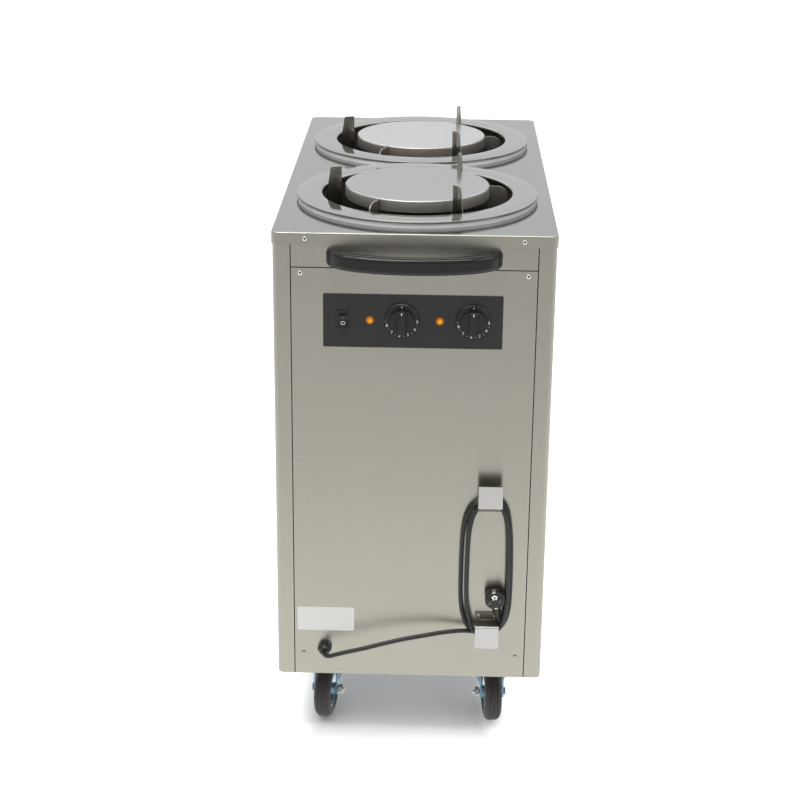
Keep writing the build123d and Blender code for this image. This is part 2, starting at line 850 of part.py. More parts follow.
def arc_radii(points):
    """Largest arc that each corner of a route leaves room for."""
    radii = []
    for before, here, after in zip(points, points[1:], points[2:]):
        run_in = Vector(*here) - Vector(*before)
        run_out = Vector(*after) - Vector(*here)
        turn = radians(run_in.get_angle(run_out))
        radii.append(0.45 * min(run_in.length, run_out.length) / tan(turn / 2))
    return radii


def make_power_cord():
    """Free stretch of the lead, as straight runs joined by tangent arcs."""
    radii = arc_radii(lead_route)
    path = FilletPolyline(*lead_route, radius=radii)
    section = Plane(origin=path @ 0, z_dir=path % 0) * Circle(cord_diameter / 2)
    cord = sweep(section, path)
    ideal = pi * cord_diameter**2 / 4 * path.length
    print("lead arc radii", [round(r, 1) for r in radii])
    print("lead length", round(path.length, 1), "volume over ideal", round(cord.volume / ideal, 5))
    return cord - make_cord_hank()


def make_cord_hank():
    """Outer shape of the lead wound round the two brackets."""
    top = upper_shelf_height + hank_shelf_gap + hank_bottom_width

    def loop(left, right, low, high, low_bend, high_bend):
        outline = Pos((left + right) / 2, (low + high) / 2) * Rectangle(right - left, high - low)
        outline = fillet(outline.vertices().group_by(Axis.Y)[0], low_bend)
        return fillet(outline.vertices().group_by(Axis.Y)[-1], high_bend)

    outside = loop(hank_left, hank_right, hank_bottom, top, hank_bottom_bend, hank_top_bend)
    inside = loop(
        hank_left + hank_left_width,
        hank_right - hank_right_width,
        hank_bottom + hank_bottom_width,
        top - hank_bottom_width,
        hank_bottom_bend - hank_bottom_width,
        hank_inner_top_bend,
    )
    ring = extrude(Plane.XZ * (outside - inside), hank_strand_depth / 2, both=True)
    rims = ring.faces().group_by(Axis.Y)
    ring = fillet(rims[0].edges() + rims[-1].edges(), hank_edge_round)
    return Pos(0, face_y - hank_standoff, 0) * ring


def make_plug():
    """Angled earthed plug: round face with a recess, two pins, and a tail for the lead."""
    body = Cylinder(plug_radius, plug_thickness)
    body = chamfer(body.edges().group_by(Axis.Z)[0], 3)
    body = Pos(0, 0, plug_thickness / 2) * fillet(body.edges().group_by(Axis.Z)[-1], 1.5)
    for side in (-1, 1):
        flat = Box(plug_radius, plug_flat_width, 4 * plug_thickness)
        body -= Pos(0, side * (plug_radius + plug_flat_width / 2 - plug_flat_depth), 0) * flat
        pin_x = side * plug_pin_spacing / 2
        pin = rod((pin_x, 0, plug_thickness / 2), (pin_x, 0, plug_thickness + plug_pin_length), plug_pin_radius)
        body += fillet(pin.edges().group_by(Axis.Z)[-1], plug_pin_radius * 0.6)
    tail_high = plug_radius * 0.7
    tail_z = plug_thickness * 0.45
    tail = Plane(origin=(0, -tail_high, tail_z), z_dir=(0, -1, 0)) * Circle(plug_thickness * 0.42)
    tail_end = Plane(origin=(0, -plug_radius - plug_tail_length, tail_z), z_dir=(0, -1, 0))
    body += loft([tail, tail_end * Circle(cord_diameter / 2 + 1.2)])
    turn = radians(plug_lead_turn)
    lead_path = FilletPolyline(
        (0, -plug_radius - plug_tail_length, tail_z),
        (0, -plug_radius - plug_tail_length - plug_lead_run, tail_z),
        (
            plug_lead_end * sin(turn),
            -plug_radius - plug_tail_length - plug_lead_run - plug_lead_end * cos(turn),
            tail_z,
        ),
        radius=plug_lead_bend,
    )
    body += sweep(tail_end * Circle(cord_diameter / 2), lead_path)
    body = Rot(0, 0, plug_tilt) * body
    place = facing((plug_x, face_y - plug_back_gap, plug_height), (0, -1, 0))
    return place * body - make_cord_hank()


def make_cord_bracket(shelf_z, turn):
    """Z-shaped bracket: flange on the panel, shelf for the hank and a lip that keeps it there."""
    lip_y = bracket_reach - bracket_sheet / 2
    profile = FilletPolyline(
        (bracket_sheet / 2, bracket_flange),
        (bracket_sheet / 2, 0),
        (lip_y, 0),
        (lip_y, -bracket_lip),
        radius=bracket_bend,
    )
    section = trace(profile, bracket_sheet)
    bracket = extrude(Plane.YZ * section, bracket_width / 2, both=True)
    if turn < 0:
        bracket = mirror(bracket, Plane.XY)
    bracket = mirror(bracket, Plane.XZ)
    shelf_centre = shelf_z + turn * bracket_sheet / 2
    bracket = Pos(bracket_x, face_y, shelf_centre) * bracket
    return drilled(bracket, bracket_screw_places)


# ---------------------------------------------------------------- screws
def make_screws():
    """Panel, deck and bracket screws, all alike: domed head and shank."""
    screws = []
    for point, direction in screw_places + bracket_screw_places:
        screw = turned(
            [
                (0, -screw_length),
                (screw_radius, -screw_length),
                (screw_radius, 0),
                (screw_head_radius, 0),
                (screw_head_radius * 0.9, screw_head_height * 0.6),
                (screw_head_radius * 0.5, screw_head_height),
                (0, screw_head_height),
            ]
        )
        screws.append(facing(point, direction) * screw)
    return Compound(screws)


# ---------------------------------------------------------------- castors
def castor_location(name):
    """Castor frame: origin on the floor below the swivel axis, wheel towards local -Y."""
    x, y = castor_places[name]
    return Pos(x, y, 0) * Rot(0, 0, castor_yaw[name])


def make_castor_plates():
    """Top plate, ball race and kingpin of each castor, bolted below the base pan."""
    plates = []
    race_low = castor_height - castor_plate_thickness - race_height
    for name in castor_places:
        plate_low = castor_height - castor_plate_thickness
        plate = extrude(
            RectangleRounded(castor_plate_width, castor_plate_length, 8), castor_plate_thickness
        )
        plate = Pos(0, 0, plate_low) * plate
        race = turned(
            [
                (0, race_low),
                (race_radius, race_low),
                (race_radius + 3, race_low + race_height * 0.5),
                (race_radius, plate_low),
                (0, plate_low),
            ]
        )
        kingpin_low = race_low - swivel_clearance - 2 * fork_sheet - kingpin_head_height
        pin = Pos(0, 0, (kingpin_low + race_low) / 2) * Cylinder(kingpin_radius, race_low - kingpin_low)
        head = Pos(0, 0, kingpin_low + kingpin_head_height / 2) * extrude(
            RegularPolygon(kingpin_head_radius, 6), kingpin_head_height / 2, both=True
        )
        x, y = castor_places[name]
        plates.append(Pos(x, y, 0) * (plate + race + pin + head))
    return Compound(plates)


def fork_front(inset):
    """Front view of the fork: a wide crown whose cheeks close in on the wheel."""
    top = castor_height - castor_plate_thickness - race_height - swivel_clearance - inset
    crown = fork_crown_radius - inset
    cheek = fork_gap / 2 + fork_sheet - inset
    flare = top - fork_flare_drop
    shoulder = top - fork_shoulder_drop
    low = wheel_radius - 2 * fork_end_radius
    right = [(crown - fork_crown_round, top), (crown, top - fork_crown_round), (crown, flare)]
    right += [(cheek, shoulder), (cheek, low)]
    left = [(-x, z) for x, z in reversed(right)]
    return extrude(Plane.XZ * make_face(Polyline(*right, *left, close=True)), 3 * wheel_radius, both=True)


def make_fork(name):
    """Pressed fork: flared round crown, two cheeks down to the axle, and the axle bolt with its nut."""
    crown_top = castor_height - castor_plate_thickness - race_height - swivel_clearance
    cheek = fork_gap / 2 + fork_sheet
    crown_side = Pos(0, crown_top - fork_flare_drop / 2) * Rectangle(2 * fork_crown_radius, fork_flare_drop)
    side_view = make_hull((Pos(-castor_trail, wheel_radius) * Circle(fork_end_radius) + crown_side).edges())
    axle_end = Pos(0, -castor_trail) * Rectangle(2 * cheek, 2 * fork_end_radius)
    plan_view = make_hull((Circle(fork_crown_radius) + axle_end).edges())
    fork = fork_front(0) & extrude(Plane.YZ * side_view, 2 * fork_crown_radius, both=True)
    fork &= extrude(plan_view, castor_height)
    fork -= fork_front(fork_sheet)
    fork -= Pos(0, 0, crown_top) * Cylinder(kingpin_radius + kingpin_clearance, 4 * fork_sheet)
    axle_y = -castor_trail
    fork -= rod((-2 * cheek, axle_y, wheel_radius), (2 * cheek, axle_y, wheel_radius), axle_radius)
    nut_side = 1 if name.endswith("left") else -1
    head_x = -nut_side * cheek
    nut_x = nut_side * cheek
    bolt_end = nut_x + nut_side * (axle_nut_height + axle_thread_end)
    bolt = rod((head_x, axle_y, wheel_radius), (bolt_end, axle_y, wheel_radius), axle_radius)
    head = fillet(extrude(Circle(axle_head_radius), axle_head_height).edges().group_by(Axis.Z)[-1], 1)
    bolt += facing((head_x, axle_y, wheel_radius), (-nut_side, 0, 0)) * head
    nut = extrude(RegularPolygon(axle_nut_radius, 6), axle_nut_height)
    bolt += facing((nut_x, axle_y, wheel_radius), (nut_side, 0, 0)) * nut
    return castor_location(name) * Compound([fork, bolt])


def wheel_location(name):
    """Wheel frame: origin at the wheel's centre, local +Z along the axle."""
    return castor_location(name) * Pos(0, -castor_trail, wheel_radius) * Rot(0, 90, 0)


def make_rim(name):
    """Pressed rim: outer band, dished disc and hub with the axle's bore."""
    bore = axle_radius + axle_clearance
    band = rim_width / 2
    rim = turned(
        [
            (bore, -hub_width / 2),
            (hub_radius, -hub_width / 2),
            (hub_radius, -rim_sheet),
            (rim_radius - 2 * rim_sheet, -rim_sheet),
            (rim_radius - rim_sheet, -band),
            (rim_radius, -band),
            (rim_radius, band),
            (rim_radius - rim_sheet, band),
            (rim_radius - 2 * rim_sheet, rim_sheet),
            (hub_radius, rim_sheet),
            (hub_radius, hub_width / 2),
            (bore, hub_width / 2),
        ]
    )
    return wheel_location(name) * rim


def make_tyre(name):
    """Rubber tyre with a rounded tread, seated on the rim's band."""
    band = rim_width / 2
    half = tread_width / 2
    profile = make_face(
        Polyline(
            (rim_radius, -band),
            (rim_radius + 2, -half),
            (wheel_radius, -half),
            (wheel_radius, half),
            (rim_radius + 2, half),
            (rim_radius, band),
            close=True,
        )
    )
    shoulders = [v for v in profile.vertices() if v.X > wheel_radius - 0.01]
    profile = fillet(shoulders, tyre_shoulder)
    return wheel_location(name) * revolve(Plane.XZ * profile, Axis.Z)


def make_parts():
    """Every sub-part by its node name."""
    parts = {}
    parts["deck"] = make_deck()
    parts["left_side_panel"] = make_side_panel(-1)
    parts["right_side_panel"] = make_side_panel(1)
    parts["front_upper_panel"] = make_front_upper_panel()
    parts["front_lower_panel"] = make_front_lower_panel()
    parts["rear_panel"] = make_rear_panel()
    parts["base_pan"] = make_base_pan()
    for well, (centre_y, top_z) in wells.items():
        parts[f"{well}_well_tube"] = make_well_tube(centre_y)
        parts[f"{well}_collar"] = make_collar(centre_y)
        parts[f"{well}_platform"] = make_platform(centre_y, top_z)
        parts[f"{well}_carriage"] = make_carriage(centre_y, top_z)
        parts[f"{well}_lift_spring"] = make_lift_spring(centre_y, top_z)
        parts[f"{well}_guide_brackets"] = make_guide_brackets(centre_y)
        parts[f"{well}_heater"] = make_heater(centre_y)
        for place, angle in guide_angles.items():
            parts[f"{well}_guide_{place}"] = make_guide(angle, centre_y)
        parts[f"{well}_lamp"] = make_lamp(lamp_positions[well])
        parts[f"{well}_knob"] = make_knob(knob_positions[well])
        parts[f"{well}_thermostat"] = make_thermostat(knob_positions[well])
    parts["handle"] = make_handle()
    parts["control_plate"] = make_control_plate()
    parts["switch_housing"] = make_switch_housing()
    parts["power_rocker"] = make_power_rocker()
    parts["terminal_block"] = make_terminal_block()
    parts["cord_gland"] = make_cord_gland()
    parts["power_cord"] = make_power_cord()
    parts["cord_hank"] = make_cord_hank()
    parts["plug"] = make_plug()
    parts["lower_cord_bracket"] = make_cord_bracket(lower_shelf_height, 1)
    parts["upper_cord_bracket"] = make_cord_bracket(upper_shelf_height, -1)
    parts["screws"] = make_screws()
    parts["castor_plates"] = make_castor_plates()
    for name in castor_places:
        parts[f"{name}_fork"] = make_fork(name)
        parts[f"{name}_rim"] = make_rim(name)
        parts[f"{name}_tyre"] = make_tyre(name)
    return parts


os.makedirs("parts", exist_ok=True)
for name, part in make_parts().items():
    export_step(part, f"parts/{name}.step")
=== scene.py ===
import json
import math

import bmesh
import bpy
from mathutils import Matrix, Vector
from mathutils.bvhtree import BVHTree


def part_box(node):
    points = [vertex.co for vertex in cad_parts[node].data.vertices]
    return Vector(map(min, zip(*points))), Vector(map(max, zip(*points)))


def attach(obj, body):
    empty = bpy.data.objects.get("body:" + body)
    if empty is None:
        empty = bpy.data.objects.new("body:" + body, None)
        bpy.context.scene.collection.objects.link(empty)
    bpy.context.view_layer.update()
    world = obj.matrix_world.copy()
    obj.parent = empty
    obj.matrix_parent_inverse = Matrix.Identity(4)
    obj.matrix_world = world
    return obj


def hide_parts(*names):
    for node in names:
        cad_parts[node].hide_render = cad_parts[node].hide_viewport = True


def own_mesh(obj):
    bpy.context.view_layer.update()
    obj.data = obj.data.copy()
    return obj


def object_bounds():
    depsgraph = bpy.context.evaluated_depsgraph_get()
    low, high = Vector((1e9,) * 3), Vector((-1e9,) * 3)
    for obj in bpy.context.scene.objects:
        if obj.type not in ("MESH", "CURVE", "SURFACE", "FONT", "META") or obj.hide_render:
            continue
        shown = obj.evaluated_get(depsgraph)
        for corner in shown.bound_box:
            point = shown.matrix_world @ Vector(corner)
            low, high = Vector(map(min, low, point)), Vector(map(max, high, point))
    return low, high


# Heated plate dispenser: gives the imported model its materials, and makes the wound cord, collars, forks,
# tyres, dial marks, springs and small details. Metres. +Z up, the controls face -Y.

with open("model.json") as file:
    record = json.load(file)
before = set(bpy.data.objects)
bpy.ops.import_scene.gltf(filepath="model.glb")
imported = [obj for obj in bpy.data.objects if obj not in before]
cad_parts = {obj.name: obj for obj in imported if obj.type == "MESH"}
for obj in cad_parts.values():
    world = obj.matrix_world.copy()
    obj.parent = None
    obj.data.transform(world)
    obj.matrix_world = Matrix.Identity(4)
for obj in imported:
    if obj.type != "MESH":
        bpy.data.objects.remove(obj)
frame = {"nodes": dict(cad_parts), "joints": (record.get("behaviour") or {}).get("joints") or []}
cad_box = [list(corner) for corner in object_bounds()]
nodes = frame["nodes"]
joints = {joint["name"]: joint for joint in frame["joints"]}
WELLS = ("front", "rear")
CASTORS = ("front_left", "front_right", "rear_left", "rear_right")
ROOT = "cabinet"

# ---------------------------------------------------------------- places taken from the frame
PANEL_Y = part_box("front_lower_panel")[0][1]
SWITCH_LOW, SWITCH_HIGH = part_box("switch_housing")
ROW_Z = (SWITCH_LOW[2] + SWITCH_HIGH[2]) / 2
BRACKET_LIP_REACH = 0.0255
# Screws lower than this are finished like the panel, and get no painted shade in their recess.
PLAIN_SCREWS_BELOW = 0.175

# ---------------------------------------------------------------- camera
CAMERA_PLACE = (0.0401, -3.0477, 1.6357)
CAMERA_DOWN = 19.67
CAMERA_LEFT = 1.33
CAMERA_ROLL = 0.597
CAMERA_LENS = 77.98
CAMERA_SHIFT_Y = -0.05


def make_camera():
    """Camera at the photograph's place and angle."""
    data = bpy.data.cameras.new("camera")
    data.lens = CAMERA_LENS
    data.sensor_width = 36.0
    data.shift_y = CAMERA_SHIFT_Y
    camera = bpy.data.objects.new("camera", data)
    bpy.context.collection.objects.link(camera)
    turn = Matrix.Rotation(math.radians(CAMERA_LEFT), 4, "Z")
    tilt = Matrix.Rotation(math.radians(90 - CAMERA_DOWN), 4, "X")
    roll = Matrix.Rotation(math.radians(CAMERA_ROLL), 4, "Z")
    camera.matrix_world = Matrix.Translation(CAMERA_PLACE) @ turn @ tilt @ roll
    bpy.context.scene.camera = camera


# ---------------------------------------------------------------- node helpers
class Graph:
    """A node tree, with short names for what the materials, the floor and the world share."""

    def __init__(self, tree):
        self.tree = tree

    def node(self, kind, **values):
        made = self.tree.nodes.new(kind)
        for key, value in values.items():
            setattr(made, key, value)
        return made

    def link(self, source, target):
        self.tree.links.new(source, target)

    def math(self, operation, *inputs):
        """A math node's result. Each input is a number or another node's output."""
        made = self.node("ShaderNodeMath", operation=operation)
        for socket, value in zip(made.inputs, inputs):
            if isinstance(value, bpy.types.NodeSocket):
                self.link(value, socket)
            else:
                socket.default_value = value
        return made.outputs[0]

    def part(self, vector, axis):
        """One axis of a vector."""
        split = self.node("ShaderNodeSeparateXYZ")
        self.link(vector, split.inputs[0])
        return split.outputs[axis]

    def ranged(self, source, low, high, source_low=0.3, source_high=0.7, smooth=False):
        """The source mapped to a range."""
        remap = self.node("ShaderNodeMapRange", interpolation_type="SMOOTHSTEP" if smooth else "LINEAR")
        sockets = ("From Min", "From Max", "To Min", "To Max")
        for socket, value in zip(sockets, (source_low, source_high, low, high)):
            remap.inputs[socket].default_value = value
        self.link(source, remap.inputs["Value"])
        return remap.outputs["Result"]


class Shader(Graph):
    """A material's nodes. Named values go to the surface's sockets: base_color is Base Color."""

    def __init__(self, name, **values):
        self.material = bpy.data.materials.new(name)
        self.material.use_nodes = True
        super().__init__(self.material.node_tree)
        self.surface = self.tree.nodes["Principled BSDF"]
        self.coordinates = self.node("ShaderNodeTexCoord").outputs["Object"]
        for key, value in values.items():
            socket = key.replace("_", " ").title().replace("Ior", "IOR")
            self.surface.inputs[socket].default_value = value

    def noise(self, scale, detail=3.0, roughness=0.55):
        """Noise from 0 to 1 with so many features per metre, the same or one number for each axis."""
        mapping = self.node("ShaderNodeMapping")
        mapping.inputs["Scale"].default_value = scale if isinstance(scale, tuple) else (scale,) * 3
        self.link(self.coordinates, mapping.inputs["Vector"])
        texture = self.node("ShaderNodeTexNoise")
        for socket, value in zip(("Scale", "Detail", "Roughness"), (1.0, detail, roughness)):
            texture.inputs[socket].default_value = value
        self.link(mapping.outputs["Vector"], texture.inputs["Vector"])
        return texture.outputs["Fac"]

    def mix(self, factor, low, high):
        """A colour or number between two, by a factor from 0 to 1."""
        is_colour = isinstance(low, tuple)
        made = self.node("ShaderNodeMix", data_type="RGBA" if is_colour else "FLOAT")
        for socket, value in (("A", low), ("B", high)):
            made.inputs[socket].default_value = (*value, 1.0) if is_colour else value
        self.link(factor, made.inputs["Factor"])
        return made.outputs["Result"]

    def tint(self, factor, low, high):
        """Base colour between two, by a factor from 0 to 1."""
        self.link(self.mix(factor, low, high), self.surface.inputs["Base Color"])

    def cloudy(self, source, colour, darker, lighter):
        """Base colour from a little darker to a little lighter, by a noise."""
        self.tint(self.ranged(source, 0.0, 1.0), shade(colour, darker), shade(colour, lighter))

    def gloss(self, source, roughness, low=0.92, high=1.08):
        """Roughness from a little under to a little over a value, by a noise."""
        self.link(
            self.ranged(source, roughness * low, roughness * high), self.surface.inputs["Roughness"]
        )

    def bump(self, height, strength, distance):
        """Bump from a height on the surface's normal."""
        bump = self.node("ShaderNodeBump")
        bump.inputs["Strength"].default_value = strength
        bump.inputs["Distance"].default_value = distance
        self.link(height, bump.inputs["Height"])
        self.link(bump.outputs["Normal"], self.surface.inputs["Normal"])


def shade(colour, factor):
    """A colour made lighter or darker."""
    return tuple(min(1.0, part * factor) for part in colour)


# ---------------------------------------------------------------- materials
GRAIN_CLOUDS = (3.0, 3.0, 9.0)
GRAIN_STREAKS = (3.0, 3.0, 1300.0)
GRAIN_STRENGTH = 0.08
GRAIN_DEPTH = 0.00002


def brushed_steel(name, colour, roughness, anisotropy=0.0):
    """Brushed stainless: fine level streaks and slow cloudiness; reflections smear across the grain."""
    shader = Shader(name, metallic=1.0, anisotropic=anisotropy, anisotropic_rotation=0.25)
    streaks = shader.noise(GRAIN_STREAKS, detail=5.0, roughness=0.65)
    both = shader.math("MULTIPLY_ADD", shader.noise(GRAIN_CLOUDS, detail=2.0), 0.35, streaks)
    shader.tint(shader.ranged(both, 0.0, 1.0, 0.35, 0.95), shade(colour, 0.965), shade(colour, 1.03))
    shader.gloss(streaks, roughness)
    shader.bump(streaks, GRAIN_STRENGTH, GRAIN_DEPTH)
    if anisotropy:
        tangent = shader.node("ShaderNodeTangent", direction_type="RADIAL", axis="Z")
        shader.link(tangent.outputs["Tangent"], shader.surface.inputs["Tangent"])
    return shader.material


def deck_sheet(name, top, top_roughness, side, side_roughness):
    """Rolled sheet: smooth and mirror-like on top, brushed and warmer on its upright faces; on the collar
    those faces are painted darker, painted shade.
    """
    shader = Shader(name, metallic=1.0)
    normal = shader.node("ShaderNodeNewGeometry").outputs["Normal"]
    upward = shader.ranged(shader.part(normal, "Z"), 0.0, 1.0, 0.80, 0.97)
    clouds = shader.noise((6.0, 3.0, 6.0))
    scratches = shader.noise((900.0, 14.0, 900.0), detail=4.0, roughness=0.7)
    worn = shader.math("MULTIPLY_ADD", scratches, 0.25, clouds)
    varied = shader.node("ShaderNodeVectorMath", operation="SCALE")
    shader.link(shader.mix(upward, side, top), varied.inputs[0])
    shader.link(shader.ranged(worn, 0.93, 1.06, 0.35, 0.9), varied.inputs["Scale"])
    shader.link(varied.outputs["Vector"], shader.surface.inputs["Base Color"])
    polish = shader.mix(upward, side_roughness, top_roughness)
    uneven = shader.math("MULTIPLY", polish, shader.ranged(scratches, 0.85, 1.2))
    shader.link(uneven, shader.surface.inputs["Roughness"])
    shader.bump(clouds, 0.10, 0.0006)
    return shader.material


def plated_steel(name, colour, roughness):
    """Zinc plating: mottled sheen and faint colour shifts."""
    shader = Shader(name, metallic=1.0)
    mottle = shader.noise(90.0, detail=4.0)
    shader.cloudy(mottle, colour, 0.82, 1.12)
    shader.gloss(mottle, roughness, 0.8, 1.25)
    shader.bump(shader.noise(900.0), 0.15, 0.0001)
    return shader.material


def folded_bracket(name, lip, inner, roughness):
    """Bracket sheet: pale satin on its lip; the shelf and flange behind it are painted darker, painted shade
    from the lip.
    """
    shader = Shader(name, metallic=1.0)
    behind = PANEL_Y - BRACKET_LIP_REACH
    depth = shader.part(shader.coordinates, "Y")
    # Painted shade: behind the lip the sheet takes the darker colour.
    shader.tint(shader.ranged(depth, 0.0, 1.0, behind, behind + 0.003), lip, inner)
    streaks = shader.noise(GRAIN_STREAKS, detail=5.0, roughness=0.65)
    shader.gloss(streaks, roughness)
    shader.bump(streaks, GRAIN_STRENGTH, GRAIN_DEPTH)
    return shader.material


def matt_painted_reflection(name, colour):
    """Matt metal, coloured as light as the polished deck looks beside it: painted reflection, so the
    collar's base blends into the deck; a fine grain and slow cloudiness.
    """
    shader = Shader(name, metallic=0.15, roughness=0.55)
    shader.cloudy(shader.noise(25.0), colour, 0.95, 1.05)
    shader.bump(shader.noise(1400.0), 0.12, 0.00005)
    return shader.material


def screw_finish(name, bright, plain):
    """Screw heads: bright plated ones, and below a height ones finished like the panel."""
    shader = Shader(name, metallic=1.0, roughness=0.32)
    change = (PLAIN_SCREWS_BELOW - 0.01, PLAIN_SCREWS_BELOW + 0.01)
    height = shader.part(shader.coordinates, "Z")
    shader.tint(shader.ranged(height, 0.0, 1.0, *change), plain, bright)
    shader.bump(shader.noise(900.0), 0.15, 0.0001)
    return shader.material


def moulded_plastic(name, colour, roughness, grain=1500.0, depth=0.00005, specular=0.5):
    """Moulded plastic: fine grain in the surface and a little variation in its gloss."""
    shader = Shader(name, specular_ior_level=specular)
    soft = shader.noise(35.0)
    shader.cloudy(soft, colour, 0.88, 1.15)
    shader.gloss(soft, roughness, 0.85, 1.15)
    shader.bump(shader.noise(grain, detail=2.0), 0.25, depth)
    return shader.material


def rubber(name, colour, roughness):
    """Rubber: dull, with a fine pitted surface and dust in its low places."""
    shader = Shader(name)
    dust = shader.noise(60.0, detail=5.0)
    shader.tint(shader.ranged(dust, 0.0, 1.0, 0.4, 0.75), colour, shade(colour, 1.5))
    shader.gloss(dust, roughness, 0.85, 1.1)
    shader.bump(shader.noise(700.0, detail=5.0), 0.3, 0.00015)
    return shader.material


AMBER = (0.85, 0.36, 0.0)
AMBER_DARK = (0.16, 0.045, 0.0)
LENS_GLOW = 0.55
LENS_RADIUS = 0.0062
LENS_FACETS = 330.0


def lit_lens(well):
    """Neon lamp's lens: faceted amber plastic, lit from inside, bright in the middle and dark at its rim."""
    shader = Shader(
        f"{well}_amber_lens", roughness=0.22, emission_strength=LENS_GLOW, specular_ior_level=0.35
    )
    low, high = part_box(f"{well}_lamp")
    flat = shader.node("ShaderNodeVectorMath", operation="MULTIPLY")
    shader.link(shader.coordinates, flat.inputs[0])
    flat.inputs[1].default_value = (1.0, 0.0, 1.0)
    away = shader.node("ShaderNodeVectorMath", operation="DISTANCE")
    shader.link(flat.outputs[0], away.inputs[0])
    away.inputs[1].default_value = ((low[0] + high[0]) / 2, 0.0, (low[2] + high[2]) / 2)
    fade = shader.ranged(away.outputs["Value"], 1.0, 0.0, LENS_RADIUS * 0.35, LENS_RADIUS)
    facets = shader.node("ShaderNodeTexVoronoi")
    facets.inputs["Scale"].default_value = LENS_FACETS
    shader.link(shader.coordinates, facets.inputs["Vector"])
    facet = facets.outputs["Distance"]
    shader.bump(facet, 0.8, 0.0012)
    lit = shader.math("MULTIPLY", fade, shader.ranged(facet, 1.15, 0.45, 0.1, 0.8))
    colour = shader.mix(lit, AMBER_DARK, AMBER)
    shader.link(colour, shader.surface.inputs["Base Color"])
    shader.link(colour, shader.surface.inputs["Emission Color"])
    return shader.material


def printed(name, colour):
    """Screen-printed ink or a paper label, matt with a faint mottle."""
    shader = Shader(name, roughness=0.55)
    shader.cloudy(shader.noise(400.0), colour, 0.94, 1.0)
    return shader.material


STEEL = (0.385, 0.373, 0.320)
DECK = (0.385, 0.392, 0.392)
# Painted shade: the collar's upright edge is coloured darker than its top, so the thin edge reads as a dark
# line.
COLLAR_SIDE = (0.27, 0.255, 0.225)
PLATFORM_SIDE = (0.52, 0.50, 0.46)

M = {
    "panel": brushed_steel("panel_steel", STEEL, 0.26, anisotropy=0.85),
    "deck": deck_sheet("deck_steel", DECK, 0.10, STEEL, 0.36),
    "collar": deck_sheet("collar_steel", shade(DECK, 1.16), 0.09, COLLAR_SIDE, 0.22),
    # Painted reflection: the base wall is as light as the deck's reflection beside it.
    "collar_base": matt_painted_reflection("collar_base_painted_reflection", (0.60, 0.61, 0.605)),
    "tube": brushed_steel("tube_steel", (0.40, 0.385, 0.345), 0.36),
    "guide": brushed_steel("guide_steel", (0.33, 0.31, 0.275), 0.24),
    # The bracket's second colour is painted shade on the shelf and flange behind the lip.
    "bracket": folded_bracket("bracket_steel", (0.53, 0.52, 0.505), (0.20, 0.185, 0.155), 0.45),
    "galvanised": plated_steel("galvanised_steel", (0.55, 0.56, 0.57), 0.45),
    "spring": plated_steel("spring_steel", (0.32, 0.33, 0.34), 0.35),
    "heater": plated_steel("heater_sheath", (0.20, 0.17, 0.15), 0.55),
    "screw": screw_finish("screw_steel", (0.90, 0.90, 0.88), STEEL),
    # Painted shade: dark crosses in the screw heads and the slot on the rocker.
    "recess": moulded_plastic("recess_painted_shade", (0.005, 0.005, 0.005), 0.8, specular=0.15),
    "zinc": plated_steel("blue_zinc", (0.14, 0.25, 0.33), 0.22),
    "rim_zinc": plated_steel("rim_zinc", (0.66, 0.80, 0.86), 0.24),
    "nut_zinc": plated_steel("nut_zinc", (0.58, 0.57, 0.52), 0.28),
    "control": moulded_plastic("control_plate_paint", (0.0135, 0.0135, 0.0145), 0.40, 2500.0, 0.00003),
    "knob": moulded_plastic("knob_plastic", (0.0105, 0.0105, 0.0105), 0.42, 1500.0, 0.00002, 0.45),
    "handle": moulded_plastic("handle_plastic", (0.013, 0.013, 0.0125), 0.07, 900.0, 0.00001, 0.34),
    "black": moulded_plastic("black_plastic", (0.012, 0.012, 0.013), 0.32),
    # Painted shade: the dark strips in the panel seams.
    "seam": moulded_plastic("seam_painted_shade", (0.004, 0.0035, 0.003), 0.9, specular=0.1),
    "terminal": moulded_plastic("terminal_plastic", (0.72, 0.70, 0.62), 0.5),
    "cord": rubber("cord_rubber", (0.011, 0.0100, 0.0098), 0.36),
    "tyre": rubber("tyre_rubber", (0.028, 0.024, 0.021), 0.58),
    "print": printed("white_print", (0.90, 0.90, 0.88)),
    "faint_print": printed("grey_print", (0.20, 0.20, 0.20)),
    "label": printed("label_paper", (0.93, 0.93, 0.90)),
    "nickel": plated_steel("pin_nickel", (0.90, 0.87, 0.78), 0.30),
}
# The rear platform's top is painted lighter than the front one's, though they are the same sheet: painted
# light.
for well, lightness, roughness in (("front", 1.17, 0.17), ("rear", 1.62, 0.24)):
    top = shade(DECK, lightness)
    M[f"{well}_platform"] = deck_sheet(f"{well}_platform_steel", top, roughness, PLATFORM_SIDE, 0.42)
    M[f"{well}_lamp"] = lit_lens(well)

